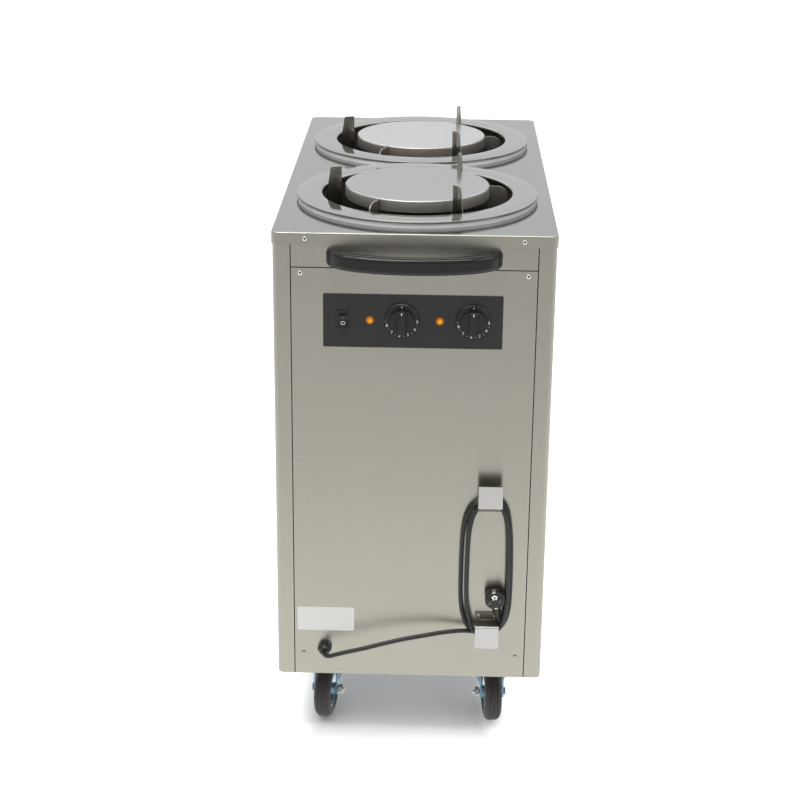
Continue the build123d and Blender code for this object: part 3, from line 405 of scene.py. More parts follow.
NODE_LOOKS = {
    "deck": "deck",
    "base_pan": "galvanised",
    "control_plate": "control",
    "switch_housing": "black",
    "power_rocker": "black",
    "terminal_block": "terminal",
    "cord_gland": "black",
    "power_cord": "cord",
    "cord_hank": "cord",
    "plug": "cord",
    "upper_cord_bracket": "bracket",
    "lower_cord_bracket": "bracket",
    "handle": "handle",
    "screws": "screw",
    "castor_plates": "galvanised",
}
for panel in ("left_side", "right_side", "front_upper", "front_lower", "rear"):
    NODE_LOOKS[f"{panel}_panel"] = "panel"
for well in WELLS:
    NODE_LOOKS |= {
        f"{well}_well_tube": "tube",
        f"{well}_collar": "collar",
        f"{well}_platform": f"{well}_platform",
        f"{well}_carriage": "tube",
        f"{well}_lift_spring": "spring",
        f"{well}_guide_left": "guide",
        f"{well}_guide_near": "guide",
        f"{well}_guide_far": "guide",
        f"{well}_guide_brackets": "tube",
        f"{well}_heater": "heater",
        f"{well}_lamp": f"{well}_lamp",
        f"{well}_knob": "knob",
        f"{well}_thermostat": "galvanised",
    }
for castor in CASTORS:
    NODE_LOOKS |= {f"{castor}_fork": "zinc", f"{castor}_rim": "rim_zinc", f"{castor}_tyre": "tyre"}


def dress(node, look):
    """Gives a CAD node its material."""
    target = nodes[node]
    target.data.materials.clear()
    target.data.materials.append(M[look])


# ---------------------------------------------------------------- geometry helpers
X_AXIS, Y_AXIS, UP = Vector((1, 0, 0)), Vector((0, 1, 0)), Vector((0, 0, 1))
SHARP_SHEET = math.radians(40)
SHARP_TYRE = math.radians(35)


def mesh_object(name, mesh, look, body=ROOT):
    """New piece from a bmesh, with its material, that rides on a body."""
    data = bpy.data.meshes.new(name)
    mesh.to_mesh(data)
    mesh.free()
    piece = bpy.data.objects.new(name, data)
    bpy.context.collection.objects.link(piece)
    data.materials.append(M[look])
    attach(piece, body)
    return piece


def smooth_outward(mesh):
    """Turns a closed mesh's faces outward and smooths them."""
    bmesh.ops.recalc_face_normals(mesh, faces=mesh.faces)
    for face in mesh.faces:
        face.smooth = True


def tube_mesh(points, radius, sides):
    """Round tube along points, closed at both ends."""
    mesh = bmesh.new()
    rings = []
    for index, point in enumerate(points):
        ahead = points[min(index + 1, len(points) - 1)] - points[max(index - 1, 0)]
        across = ahead.cross(UP).normalized()
        upward = across.cross(ahead).normalized()
        ring = []
        for step in range(sides):
            angle = 2 * math.pi * step / sides
            offset = across * math.cos(angle) * radius + upward * math.sin(angle) * radius
            ring.append(mesh.verts.new(point + offset))
        rings.append(ring)
    for low, high in zip(rings, rings[1:]):
        for step in range(sides):
            after = (step + 1) % sides
            mesh.faces.new((low[step], low[after], high[after], high[step]))
    caps = [mesh.faces.new(list(reversed(rings[0]))), mesh.faces.new(rings[-1])]
    smooth_outward(mesh)
    for cap in caps:
        cap.smooth = False
    return mesh


def arc(centre, radius, start, end, steps=6):
    """Points of an arc, its angles in degrees."""
    angles = [math.radians(start + (end - start) * step / steps) for step in range(steps + 1)]
    return [
        (centre[0] + radius * math.cos(angle), centre[1] + radius * math.sin(angle)) for angle in angles
    ]


def add_turned(mesh, profile, centre, axes, sides, closed=True):
    """Adds a profile of (radius, along), turned about the last of three axes through a centre."""
    first, second, axis = axes
    rings = []
    for side in range(sides):
        angle = 2 * math.pi * side / sides
        spoke = first * math.cos(angle) + second * math.sin(angle)
        rings.append([mesh.verts.new(centre + spoke * radius + axis * along) for radius, along in profile])
    for side in range(sides):
        here, after = rings[side], rings[(side + 1) % sides]
        for index in range(len(profile) if closed else len(profile) - 1):
            wrap = (index + 1) % len(profile)
            mesh.faces.new((here[index], after[index], after[wrap], here[wrap]))


def add_rod(mesh, start, end, radius, sides=24):
    """Adds a closed round or hexagonal rod between two points."""
    along = end - start
    turn = UP.rotation_difference(along)
    place = Matrix.Translation((start + end) / 2) @ turn.to_matrix().to_4x4()
    bmesh.ops.create_cone(
        mesh, cap_ends=True, segments=sides, radius1=radius, radius2=radius, depth=along.length, matrix=place
    )


def add_box(mesh, low, high):
    """Adds a box between two corners."""
    for vertex in bmesh.ops.create_cube(mesh, size=1.0)["verts"]:
        for axis in range(3):
            vertex.co[axis] = low[axis] + (vertex.co[axis] + 0.5) * (high[axis] - low[axis])


# ---------------------------------------------------------------- lead, hank and plug
CORD_DIAMETER = 0.0075
# Route of the lead from the gland's nose to the hank: x, distance in front of the panel, z.
LEAD_ROUTE = [
    (-0.145, 0.0190, 0.1695),
    (-0.145, 0.0400, 0.1695),
    (-0.112, 0.0415, 0.1810),
    (-0.079, 0.0420, 0.1895),
    (-0.043, 0.0390, 0.1990),
    (-0.008, 0.0350, 0.2065),
    (0.028, 0.0300, 0.2115),
    (0.060, 0.0225, 0.2145),
    (0.096, 0.0145, 0.2145),
]
# One turn round the brackets, from the left below the lower shelf: x, z, seen from the front.
TURN_ROUTE = [
    (0.124, 0.2080),
    (0.142, 0.2090),
    (0.158, 0.2250),
    (0.1655, 0.2500),
    (0.1670, 0.2900),
    (0.1665, 0.3500),
    (0.1650, 0.3950),
    (0.1600, 0.4300),
    (0.1480, 0.4520),
    (0.1310, 0.4545),
    (0.1120, 0.4500),
    (0.0980, 0.4320),
    (0.0905, 0.4000),
    (0.0890, 0.3500),
    (0.0885, 0.2900),
    (0.0900, 0.2550),
    (0.0980, 0.2250),
    (0.1090, 0.2110),
]
TURN_MIDDLE_X = 0.128
TURN_BLEND = 0.035
# Each turn's distance in front of the panel, and its shift in x on the left and on the right.
TURN_SHIFTS = [(0.0110, -0.0035, 0.0020), (0.0185, 0.0062, -0.0028)]
TAIL_ROUTE = [
    (0.128, 0.0150, 0.2075),
    (0.148, 0.0140, 0.2120),
    (0.1560, 0.0128, 0.2290),
    (0.1505, 0.0124, 0.2400),
]


def cord_points():
    """Control points of the whole cord, from the gland through two turns to the plug's tail."""
    points = [Vector((x, PANEL_Y - out, z)) for x, out, z in LEAD_ROUTE]
    for out, left, right in TURN_SHIFTS:
        for x, z in TURN_ROUTE:
            spread = left if x < TURN_MIDDLE_X else right
            weight = min(1.0, abs(x - TURN_MIDDLE_X) / TURN_BLEND)
            points.append(Vector((x + spread * weight, PANEL_Y - out, z)))
    points += [Vector((x, PANEL_Y - out, z)) for x, out, z in TAIL_ROUTE]
    return points


def make_cord():
    """The whole cord as one smooth line with a round section."""
    points = cord_points()
    curve = bpy.data.curves.new("supply_cord", "CURVE")
    curve.dimensions = "3D"
    curve.bevel_depth = CORD_DIAMETER / 2
    curve.bevel_resolution = 5
    curve.resolution_u = 12
    curve.use_fill_caps = True
    spline = curve.splines.new("NURBS")
    spline.points.add(len(points) - 1)
    for target, point in zip(spline.points, points):
        target.co = (*point, 1.0)
    spline.order_u = 3
    spline.use_endpoint_u = True
    curve.materials.append(M["cord"])
    cord = bpy.data.objects.new("supply_cord", curve)
    bpy.context.collection.objects.link(cord)
    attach(cord, ROOT)
    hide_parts("power_cord", "cord_hank")
    return cord


# ---------------------------------------------------------------- collars
COLLAR_HOLE_RADIUS = 0.1610
COLLAR_HOLE_ROUND = 0.0030
COLLAR_EDGE = 0.0042
COLLAR_EDGE_ROUND = 0.0011
COLLAR_STEP = 0.0016
COLLAR_SHEET = 0.0012
COLLAR_SIDES = 240
# What counts as the base's outer wall: nearly upright faces, below the edge and at the base's radius.
UPRIGHT_NORMAL = 0.3
EDGE_SLACK = 0.0002
BASE_SLACK = 0.0004


def make_collar(well):
    """Well collar: a thin sheet ring on a plain base that stands a little further in."""
    low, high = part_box(f"{well}_collar")
    centre = Vector(((low[0] + high[0]) / 2, (low[1] + high[1]) / 2, 0))
    bottom, top = low[2], high[2]
    radius = (high[0] - low[0]) / 2
    base = radius - COLLAR_STEP
    inner = base - COLLAR_SHEET
    throat = COLLAR_HOLE_RADIUS + COLLAR_SHEET
    hole_round = COLLAR_HOLE_RADIUS + COLLAR_HOLE_ROUND
    edge_round = radius - COLLAR_EDGE_ROUND
    edge_low = top - COLLAR_EDGE
    profile = [(COLLAR_HOLE_RADIUS, bottom + COLLAR_SHEET)]
    profile += arc((hole_round, top - COLLAR_HOLE_ROUND), COLLAR_HOLE_ROUND, 180, 90)
    profile += arc((edge_round, top - COLLAR_EDGE_ROUND), COLLAR_EDGE_ROUND, 90, 0)
    profile += arc((edge_round, edge_low + COLLAR_EDGE_ROUND), COLLAR_EDGE_ROUND, 0, -90)
    profile += [(base, edge_low), (base, bottom), (inner, bottom), (inner, top - COLLAR_SHEET)]
    profile += [(throat, top - COLLAR_HOLE_ROUND), (throat, bottom + COLLAR_SHEET)]
    mesh = bmesh.new()
    add_turned(mesh, profile, centre, (X_AXIS, Y_AXIS, UP), COLLAR_SIDES)
    smooth_outward(mesh)
    ring = mesh_object(f"{well}_collar_ring", mesh, "collar")
    ring.data.set_sharp_from_angle(angle=SHARP_SHEET)
    ring.data.materials.append(M["collar_base"])
    for face in ring.data.polygons:
        upright = abs(face.normal.z) < UPRIGHT_NORMAL
        reach = math.hypot(face.center.x - centre.x, face.center.y - centre.y)
        if upright and face.center.z < edge_low - EDGE_SLACK and reach > base - BASE_SLACK:
            # The base's outer wall gets the matt light grey of painted reflection.
            face.material_index = 1
    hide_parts(f"{well}_collar")


# ---------------------------------------------------------------- lift springs
SPRING_RADIUS = 0.060
SPRING_WIRE = 0.006
SPRING_TURNS = 9
SPRING_STEPS = 36
SPRING_SIDES = 12


def make_spring(well):
    """Compression spring with closed ends."""
    low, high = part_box(f"{well}_lift_spring")
    middle_y = (low[1] + high[1]) / 2
    bottom = low[2] + SPRING_WIRE / 2
    height = high[2] - low[2] - SPRING_WIRE
    steps = SPRING_TURNS * SPRING_STEPS
    points = []
    for step in range(steps + 1):
        angle = 2 * math.pi * step / SPRING_STEPS
        x, y = SPRING_RADIUS * math.cos(angle), middle_y + SPRING_RADIUS * math.sin(angle)
        points.append(Vector((x, y, bottom + height * step / steps)))
    mesh = tube_mesh(points, SPRING_WIRE / 2, SPRING_SIDES)
    spring = mesh_object(f"{well}_coil_spring", mesh, "spring")
    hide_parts(f"{well}_lift_spring")
    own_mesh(spring)


# ---------------------------------------------------------------- marks laid on the controls
MARK_LIFT = 0.00007
DIAL_DIGITS = "345678"
DIAL_FIRST_ANGLE = 92.0
DIAL_STEP = 32.0
DIAL_DIGIT_RADIUS = 0.0249
DIAL_DIGIT_SIZE = 0.0070
DIAL_TICK_RADIUS = 0.0256
DIAL_TICK = (0.0007, 0.0013)
DIAL_TOP_MARK = (0.0010, 0.0038)
DIAL_TOP_RADIUS = 0.0236
POINTER_RADIUS = 0.0158
POINTER_SIZE = (0.0021, 0.0046)
POINTER_STEPS = 12
DIGIT_BOLDNESS = 0.012


def surface_of(node):
    """Search tree over a CAD node's mesh."""
    data = nodes[node].data
    corners = [vertex.co.copy() for vertex in data.vertices]
    return BVHTree.FromPolygons(corners, [tuple(face.vertices) for face in data.polygons])


def lay_mark(name, mesh, tree, look, body):
    """Makes a piece of a flat mesh, drawn in X and Z, laid on the surface behind it."""
    start = cad_box[0][1] - 1.0
    for vertex in mesh.verts:
        hit, _, _, _ = tree.ray_cast(Vector((vertex.co.x, start, vertex.co.z)), Y_AXIS)
        if hit:
            vertex.co.y = hit.y - MARK_LIFT
    mesh_object(name, mesh, look, body)


def add_outline(mesh, points, place, angle=0.0):
    """Adds a flat outline, given as (across, up) points, turned clockwise seen from the front."""
    turn = math.radians(angle)
    corners = []
    for across, up in points:
        x = place[0] + across * math.cos(turn) + up * math.sin(turn)
        z = place[1] - across * math.sin(turn) + up * math.cos(turn)
        corners.append(mesh.verts.new((x, 0.0, z)))
    mesh.faces.new(corners)


def bar(width, height):
    """Outline of an upright bar."""
    x, z = width / 2, height / 2
    return [(-x, -z), (x, -z), (x, z), (-x, z)]


def add_digit(mesh, digit, size, place):
    """Adds an upright digit in the built-in font, its middle at the place."""
    curve = bpy.data.curves.new("digit", "FONT")
    curve.body = digit
    curve.size = size
    curve.align_x = "CENTER"
    curve.align_y = "CENTER"
    curve.resolution_u = 3
    curve.offset = size * DIGIT_BOLDNESS
    text = bpy.data.objects.new("digit", curve)
    glyph = bpy.data.meshes.new_from_object(text)
    corners = [
        mesh.verts.new((place[0] + vertex.co.x, 0.0, place[1] + vertex.co.y)) for vertex in glyph.vertices
    ]
    for face in glyph.polygons:
        mesh.faces.new([corners[index] for index in face.vertices])
    bpy.data.objects.remove(text)
    bpy.data.curves.remove(curve)
    bpy.data.meshes.remove(glyph)


def on_dial(centre, radius, angle):
    """Point on a dial: the angle runs clockwise from the top."""
    turn = math.radians(angle)
    return (centre[0] + radius * math.sin(turn), centre[1] + radius * math.cos(turn))


def make_dial_marks(well):
    """Printed scale on a knob's skirt, and the pointer on its bar."""
    low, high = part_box(f"{well}_knob")
    centre = ((low[0] + high[0]) / 2, (low[2] + high[2]) / 2)
    tree = surface_of(f"{well}_knob")
    scale, top, pointer = bmesh.new(), bmesh.new(), bmesh.new()
    for index, digit in enumerate(DIAL_DIGITS):
        angle = DIAL_FIRST_ANGLE + DIAL_STEP * index
        add_digit(scale, digit, DIAL_DIGIT_SIZE, on_dial(centre, DIAL_DIGIT_RADIUS, angle))
        tick = angle + DIAL_STEP / 2
        add_outline(scale, bar(*DIAL_TICK), on_dial(centre, DIAL_TICK_RADIUS, tick), tick)
    add_outline(top, bar(*DIAL_TOP_MARK), on_dial(centre, DIAL_TOP_RADIUS, 0))
    width, height = POINTER_SIZE
    turns = [2 * math.pi * step / POINTER_STEPS for step in range(POINTER_STEPS)]
    drop = [(width / 2 * math.sin(turn), height / 2 * math.cos(turn)) for turn in turns]
    add_outline(pointer, drop, on_dial(centre, POINTER_RADIUS, 0))
    for name, mesh in (("scale", scale), ("top_mark", top), ("pointer", pointer)):
        lay_mark(f"{well}_dial_{name}", mesh, tree, "print", f"{well}_dial")


ROCKER_ON_UP = 0.0033
ROCKER_OFF_DOWN = 0.0047
ROCKER_ON = (0.0008, 0.0038)
ROCKER_RING = (0.0028, 0.0019, 0.0008)
ROCKER_RING_STEPS = 20
ROCKER_SLOT = (0.0128, 0.0034)
ROCKER_SLOT_UP = 0.0092


def make_rocker_marks():
    """On and off signs on the rocker, a bar and a ring, and above them a dark slot of painted shade."""
    low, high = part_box("power_rocker")
    centre_x = (low[0] + high[0]) / 2
    on_mark, ring, slot = bmesh.new(), bmesh.new(), bmesh.new()
    add_outline(on_mark, bar(*ROCKER_ON), (centre_x, ROW_Z + ROCKER_ON_UP))
    half_width, half_height, line = ROCKER_RING
    inner, outer = [], []
    for step in range(ROCKER_RING_STEPS):
        angle = 2 * math.pi * step / ROCKER_RING_STEPS
        for loop, extra in ((inner, 0.0), (outer, line)):
            x = centre_x + (half_width + extra) * math.cos(angle)
            z = ROW_Z - ROCKER_OFF_DOWN + (half_height + extra) * math.sin(angle)
            loop.append(ring.verts.new((x, 0.0, z)))
    for step in range(ROCKER_RING_STEPS):
        after = (step + 1) % ROCKER_RING_STEPS
        ring.faces.new((inner[step], inner[after], outer[after], outer[step]))
    add_outline(slot, bar(*ROCKER_SLOT), (centre_x, ROW_Z + ROCKER_SLOT_UP))
    tree = surface_of("power_rocker")
    lay_mark("rocker_on_mark", on_mark, tree, "faint_print", "rocker")
    lay_mark("rocker_off_mark", ring, tree, "print", "rocker")
    # The slot is painted shade of the rocker's recess.
    lay_mark("rocker_slot", slot, tree, "recess", "rocker")


# ---------------------------------------------------------------- seams, label and screw recesses
SEAM_DEPTH = 0.0009
SEAM_INSET = 0.00025


def make_seams():
    """Dark strips in the narrow gaps round the end panels: painted shade, standing in for the shadow deep in
    the gaps.
    """
    mesh = bmesh.new()
    _, lower_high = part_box("front_lower_panel")
    upper_low, upper_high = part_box("front_upper_panel")
    side_low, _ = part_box("right_side_panel")
    _, rear_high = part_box("rear_panel")
    gap = upper_low[2] - lower_high[2]
    front = (PANEL_Y + SEAM_INSET, PANEL_Y + SEAM_INSET + SEAM_DEPTH)
    back = (rear_high[1] - SEAM_INSET - SEAM_DEPTH, rear_high[1] - SEAM_INSET)
    half = lower_high[0]
    for low_y, high_y in (front, back):
        for side in (-1, 1):
            xs = sorted((side * half, side * (half + gap)))
            add_box(mesh, (xs[0], low_y, side_low[2]), (xs[1], high_y, upper_high[2]))
    add_box(mesh, (-half, front[0], lower_high[2]), (half, front[1], upper_low[2]))
    mesh_object("panel_seam_shade_strips", mesh, "seam")


LABEL_LOW = (-0.1915, 0.201)
LABEL_HIGH = (-0.0947, 0.245)
LABEL_THICK = 0.0004
LABEL_CORNER = 0.002


def make_label():
    """Bare label plate, with rounded corners."""
    mesh = bmesh.new()
    (left, bottom), (right, top) = LABEL_LOW, LABEL_HIGH
    corners = []
    for x, z, start in (
        (right - LABEL_CORNER, top - LABEL_CORNER, 0),
        (left + LABEL_CORNER, top - LABEL_CORNER, 90),
        (left + LABEL_CORNER, bottom + LABEL_CORNER, 180),
        (right - LABEL_CORNER, bottom + LABEL_CORNER, 270),
    ):
        corners += arc((x, z), LABEL_CORNER, start, start + 90, steps=4)
    face = mesh.faces.new([mesh.verts.new((x, PANEL_Y, z)) for x, z in corners])
    pushed = bmesh.ops.extrude_face_region(mesh, geom=[face])["geom"]
    for vertex in pushed:
        if isinstance(vertex, bmesh.types.BMVert):
            vertex.co.y -= LABEL_THICK
    bmesh.ops.recalc_face_normals(mesh, faces=mesh.faces)
    mesh_object("blank_label", mesh, "label")


RECESS_ARM = (0.0046, 0.0012)
RECESS_RADIUS = 0.0015
RECESS_LIFT = 0.00004
RECESS_THICK = 0.00035
SAME_POINT = 0.00001


def islands(node):
    """Boxes of the separate solids in a node's mesh."""
    mesh = bmesh.new()
    mesh.from_mesh(nodes[node].data)
    bmesh.ops.remove_doubles(mesh, verts=mesh.verts, dist=SAME_POINT)
    left = set(mesh.verts)
    boxes = []
    for seed in mesh.verts:
        if seed not in left:
            continue
        left.remove(seed)
        queue, low, high = [seed], list(seed.co), list(seed.co)
        while queue:
            vertex = queue.pop()
            for axis in range(3):
                low[axis] = min(low[axis], vertex.co[axis])
                high[axis] = max(high[axis], vertex.co[axis])
            for edge in vertex.link_edges:
                other = edge.other_vert(vertex)
                if other in left:
                    left.remove(other)
                    queue.append(other)
        boxes.append((low, high))
    mesh.free()
    return boxes


def make_screw_recesses():
    """Dark cross in each screw's head, painted shade of its recess, but for the low screws that are finished
    plain.
    """
    mesh = bmesh.new()
    length, width = RECESS_ARM
    for low, high in islands("screws"):
        if high[2] < PLAIN_SCREWS_BELOW:
            continue
        sizes = [b - a for a, b in zip(low, high)]
        centre = [(a + b) / 2 for a, b in zip(low, high)]
        axis = max(range(3), key=lambda part: abs(sizes[part] - sorted(sizes)[1]))
        outward = 1 if centre[axis] > 0 else -1
        head = high[axis] if outward > 0 else low[axis]
        lift, place = Vector(), Vector(centre)
        lift[axis] = RECESS_LIFT
        place[axis] = head
        add_rod(mesh, place - lift, place + lift, RECESS_RADIUS, 20)
        across = [part for part in range(3) if part != axis]
        for first, second in (across, reversed(across)):
            corner_low, corner_high = [0.0] * 3, [0.0] * 3
            for part, size in ((first, length), (second, width)):
                corner_low[part], corner_high[part] = centre[part] - size / 2, centre[part] + size / 2
            ends = sorted((head + outward * RECESS_LIFT, head - outward * RECESS_THICK))
            corner_low[axis], corner_high[axis] = ends
            add_box(mesh, corner_low, corner_high)
    mesh_object("screw_cross_recesses", mesh, "recess")


# ---------------------------------------------------------------- castors
TYRE_SIDES = 96
TREAD_GROOVES = (0.0062, 0.0, -0.0062)
GROOVE_WIDTH = 0.0011
GROOVE_DEPTH = 0.0007
GROOVE_TAPER = 0.6
TYRE_SHOULDER = 0.0105
TYRE_HALF = 0.0145
RIM_RADIUS = 0.031
RIM_HALF = 0.012
BEAD_RISE = (0.0016, 0.0028)
BEAD_INSET = 0.0004
# The ring on each side wall: its radius, half width and rise.
WALL_RING = (0.0365, 0.0008, 0.0005)


def tyre_profile(radius):
    """Points (radius, across) from one rim edge over the tread to the other."""
    ring, half, rise = WALL_RING
    limit = TYRE_HALF - TYRE_SHOULDER
    side = [
        (RIM_RADIUS, RIM_HALF),
        (RIM_RADIUS + BEAD_RISE[0], TYRE_HALF - BEAD_INSET),
        (RIM_RADIUS + BEAD_RISE[1], TYRE_HALF),
        (ring - half, TYRE_HALF),
        (ring, TYRE_HALF + rise),
        (ring + half, TYRE_HALF),
    ]
    side += [(r, a) for a, r in arc((limit, radius - TYRE_SHOULDER), TYRE_SHOULDER, 0, 90, steps=7)]
    tread = []
    edge = GROOVE_WIDTH / 2
    for across in TREAD_GROOVES:
        over = max(0.0, abs(across) - limit)
        high = radius - TYRE_SHOULDER + math.sqrt(TYRE_SHOULDER**2 - over**2)
        tread += [(high, across + edge), (high - GROOVE_DEPTH, across + edge * GROOVE_TAPER)]
        tread += [(high - GROOVE_DEPTH, across - edge * GROOVE_TAPER), (high, across - edge)]
    shown = [point for point in side if point[1] > max(TREAD_GROOVES) + GROOVE_WIDTH]
    return shown + tread + [(r, -a) for r, a in reversed(shown)]


def make_tyre(castor):
    """Tyre with tread grooves and a ring on each side wall."""
    low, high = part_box(f"{castor}_tyre")
    joint = joints[f"{castor}_wheel_spin"]
    axle = Vector(joint["axis"]).normalized()
    mesh = bmesh.new()
    profile = tyre_profile((high[2] - low[2]) / 2)
    add_turned(mesh, profile, Vector(joint["pos_m"]), (axle.cross(UP), UP, axle), TYRE_SIDES)
    smooth_outward(mesh)
    tyre = mesh_object(f"{castor}_tread_tyre", mesh, "tyre", f"{castor}_wheel")
    tyre.data.set_sharp_from_angle(angle=SHARP_TYRE)
    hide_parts(f"{castor}_tyre")


# ---------------------------------------------------------------- castor forks
FORK_CROWN = 0.041
FORK_CROWN_ROUND = 0.007
FORK_CROWN_HOLE = 0.009
FORK_CROWN_SIDES = 64
FORK_SHEET = 0.0025
FORK_CHEEK = 0.0208
FORK_END = 0.011
FORK_HEEL = 0.7 * FORK_END
FORK_FLARE_DROP = 0.030
FORK_SHOULDER_DROP = 0.058
FORK_REACH = 0.0405
FORK_TIP = 0.0003
FORK_NARROWEST = 0.004
FORK_COLUMNS = 18
FORK_ROWS = 22
BOLT_HEAD = (0.0068, 0.0026)
NUT_RADIUS = 0.0082
NUT_HEIGHT = 0.0072
THREAD_RADIUS = 0.0040
THREAD_END = 0.0035


def flank_ends(height, flare, trail, axle):
    """How far back and forward a fork's flank reaches at a height."""
    below = math.sqrt(max(0.0, FORK_END**2 - (axle - height) ** 2))
    back, front = trail - below, trail + below
    if height >= axle - FORK_HEEL:
        share = min(1.0, (height - axle + FORK_HEEL) / (flare - axle + FORK_HEEL))
        back = (trail - FORK_HEEL) * (1 - share) - FORK_CROWN * share
    if height >= axle:
        share = min(1.0, (height - axle) / (flare - axle))
        front = (trail + FORK_END) * (1 - share) + FORK_CROWN * share
    return back, front


def make_fork(castor):
    """Pressed fork with closed flanks: they leave the round crown and close in on the wheel."""
    swivel = Vector(joints[f"{castor}_castor_swivel"]["pos_m"])
    hub = Vector(joints[f"{castor}_wheel_spin"]["pos_m"])
    ahead = Vector((hub.x - swivel.x, hub.y - swivel.y, 0))
    trail = ahead.length
    ahead.normalize()
    side = ahead.cross(UP)
    foot = Vector((swivel.x, swivel.y, 0))
    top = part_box(f"{castor}_fork")[1][2]
    flare = top - FORK_FLARE_DROP
    shoulder = top - FORK_SHOULDER_DROP

    def at(across, forward, z):
        return foot + side * across + ahead * forward + UP * z

    mesh = bmesh.new()
    for hand in (-1, 1):
        grid = []
        for row in range(FORK_ROWS + 1):
            height = flare + (hub.z - FORK_END + FORK_TIP - flare) * row / FORK_ROWS
            back, front = flank_ends(height, flare, trail, hub.z)
            widen = min(1.0, max(0.0, (height - shoulder) / (flare - shoulder)))
            line = []
            for column in range(FORK_COLUMNS + 1):
                forward = back + (front - back) * column / FORK_COLUMNS
                rounded = math.sqrt(FORK_CROWN**2 - min(abs(forward), FORK_REACH) ** 2)
                across = FORK_CHEEK + max(0.0, rounded - FORK_CHEEK) * widen
                if row == 0:
                    across = max(rounded, FORK_NARROWEST)
                line.append(mesh.verts.new(at(hand * across, forward, height)))
            grid.append(line)
        for upper, lower in zip(grid, grid[1:]):
            for index in range(FORK_COLUMNS):
                mesh.faces.new((upper[index], upper[index + 1], lower[index + 1], lower[index]))
    crown = [(FORK_CROWN, flare)]
    crown += arc((FORK_CROWN - FORK_CROWN_ROUND, top - FORK_CROWN_ROUND), FORK_CROWN_ROUND, 0, 90)
    crown += [(FORK_CROWN_HOLE, top)]
    add_turned(mesh, crown, foot, (side, ahead, UP), FORK_CROWN_SIDES, closed=False)
    bmesh.ops.recalc_face_normals(mesh, faces=mesh.faces)
    bmesh.ops.solidify(mesh, geom=list(mesh.faces), thickness=FORK_SHEET)
    for face in mesh.faces:
        face.smooth = True
    fork = mesh_object(f"{castor}_closed_fork", mesh, "zinc", f"{castor}_swivel")
    fork.data.set_sharp_from_angle(angle=SHARP_SHEET)
    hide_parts(f"{castor}_fork")
    make_axle_bolt(castor, at(0, trail, hub.z), side)


def make_axle_bolt(castor, middle, side):
    """Axle bolt across the fork: round head outside, hexagon nut on the side towards the middle."""
    mesh = bmesh.new()
    hand = 1 if side.x > 0 else -1
    inward = side * (hand if castor.endswith("left") else -hand)
    face = FORK_CHEEK + FORK_SHEET / 2
    nut_end = face + NUT_HEIGHT
    for start, end, radius, sides in (
        (-face, -face - BOLT_HEAD[1], BOLT_HEAD[0], 24),
        (face, nut_end, NUT_RADIUS, 6),
        (nut_end, nut_end + THREAD_END, THREAD_RADIUS, 24),
    ):
        add_rod(mesh, middle + inward * start, middle + inward * end, radius, sides)
    add_rod(mesh, middle - side * face, middle + side * face, THREAD_RADIUS)
    bolt = mesh_object(f"{castor}_axle_bolt", mesh, "nut_zinc", f"{castor}_swivel")
    bolt.data.materials.append(M["zinc"])
    for polygon in bolt.data.polygons:
        if (polygon.center - middle).dot(inward) < 0:
            polygon.material_index = 1


# ---------------------------------------------------------------- plug contacts
PLUG_CENTRE = (0.1434, 0.2765)
PLUG_BACK = 0.003
PLUG_THICK = 0.021
PLUG_TILT = 9.0
PIN_SPACING = 0.019
PIN_RADIUS = 0.00248
PIN_LENGTH = 0.0150
EARTH_UP = 0.0052
EARTH_RADIUS = 0.0056
CLIP_SIZE = (0.0058, 0.0012, 0.0100)
CLIP_REACH = 0.0148
PIN_BASE_UP = 0.001
CONTACT_LIFT = 0.0006
PETALS = 5
PETAL_NOTCH = 0.66
EARTH_HOLE = 0.34
EARTH_HOLE_LIFT = 0.0001


def plug_frame():
    """Plug frame: local X and Y across its face, local Z away from the panel."""
    axes = Matrix(((1, 0, 0, 0), (0, 0, -1, 0), (0, 1, 0, 0), (0, 0, 0, 1)))
    place = Matrix.Translation((PLUG_CENTRE[0], PANEL_Y - PLUG_BACK, PLUG_CENTRE[1]))
    return place @ axes @ Matrix.Rotation(math.radians(PLUG_TILT), 4, "Z")


def make_plug_contacts():
    """Bright pins, the earth socket with its petals, and the earth clips at the plug's edges."""
    mesh = bmesh.new()
    pin_start = PLUG_THICK + PIN_BASE_UP
    for side in (-1, 1):
        x = side * PIN_SPACING / 2
        add_rod(mesh, Vector((x, 0, pin_start)), Vector((x, 0, pin_start + PIN_LENGTH)), PIN_RADIUS)
        half, thick, tall = CLIP_SIZE[0] / 2, CLIP_SIZE[1] / 2, CLIP_SIZE[2]
        y = side * CLIP_REACH
        add_box(mesh, (-half, y - thick, PLUG_THICK - tall), (half, y + thick, PLUG_THICK + CONTACT_LIFT))
    rim, hole = [], []
    for step in range(2 * PETALS):
        angle = math.pi * step / PETALS + math.pi / 2
        petal = 1.0 if step % 2 == 0 else PETAL_NOTCH
        for loop, share, lift in ((rim, petal, CONTACT_LIFT), (hole, EARTH_HOLE, EARTH_HOLE_LIFT)):
            reach = EARTH_RADIUS * share
            x, y = reach * math.cos(angle), EARTH_UP + reach * math.sin(angle)
            loop.append(mesh.verts.new((x, y, PLUG_THICK + lift)))
    for step in range(2 * PETALS):
        after = (step + 1) % (2 * PETALS)
        mesh.faces.new((hole[step], rim[step], rim[after], hole[after]))
    bmesh.ops.transform(mesh, matrix=plug_frame(), verts=mesh.verts)
    return mesh_object("plug_contacts", mesh, "nickel")


# ---------------------------------------------------------------- stage and light
FLOOR_COLOUR = (0.80, 0.80, 0.81, 1)
SHADE_MIDDLE_X = -0.015
SHADE_ACROSS = (0.13, 0.215)
SHADE_ALONG = (0.38, 0.55)
FLOOR_GLOW_NEAR = 0.10
REFLECTED_FROM = (0.45, 1.25)
REFLECTED_GLOW = (0.62, 0.28)


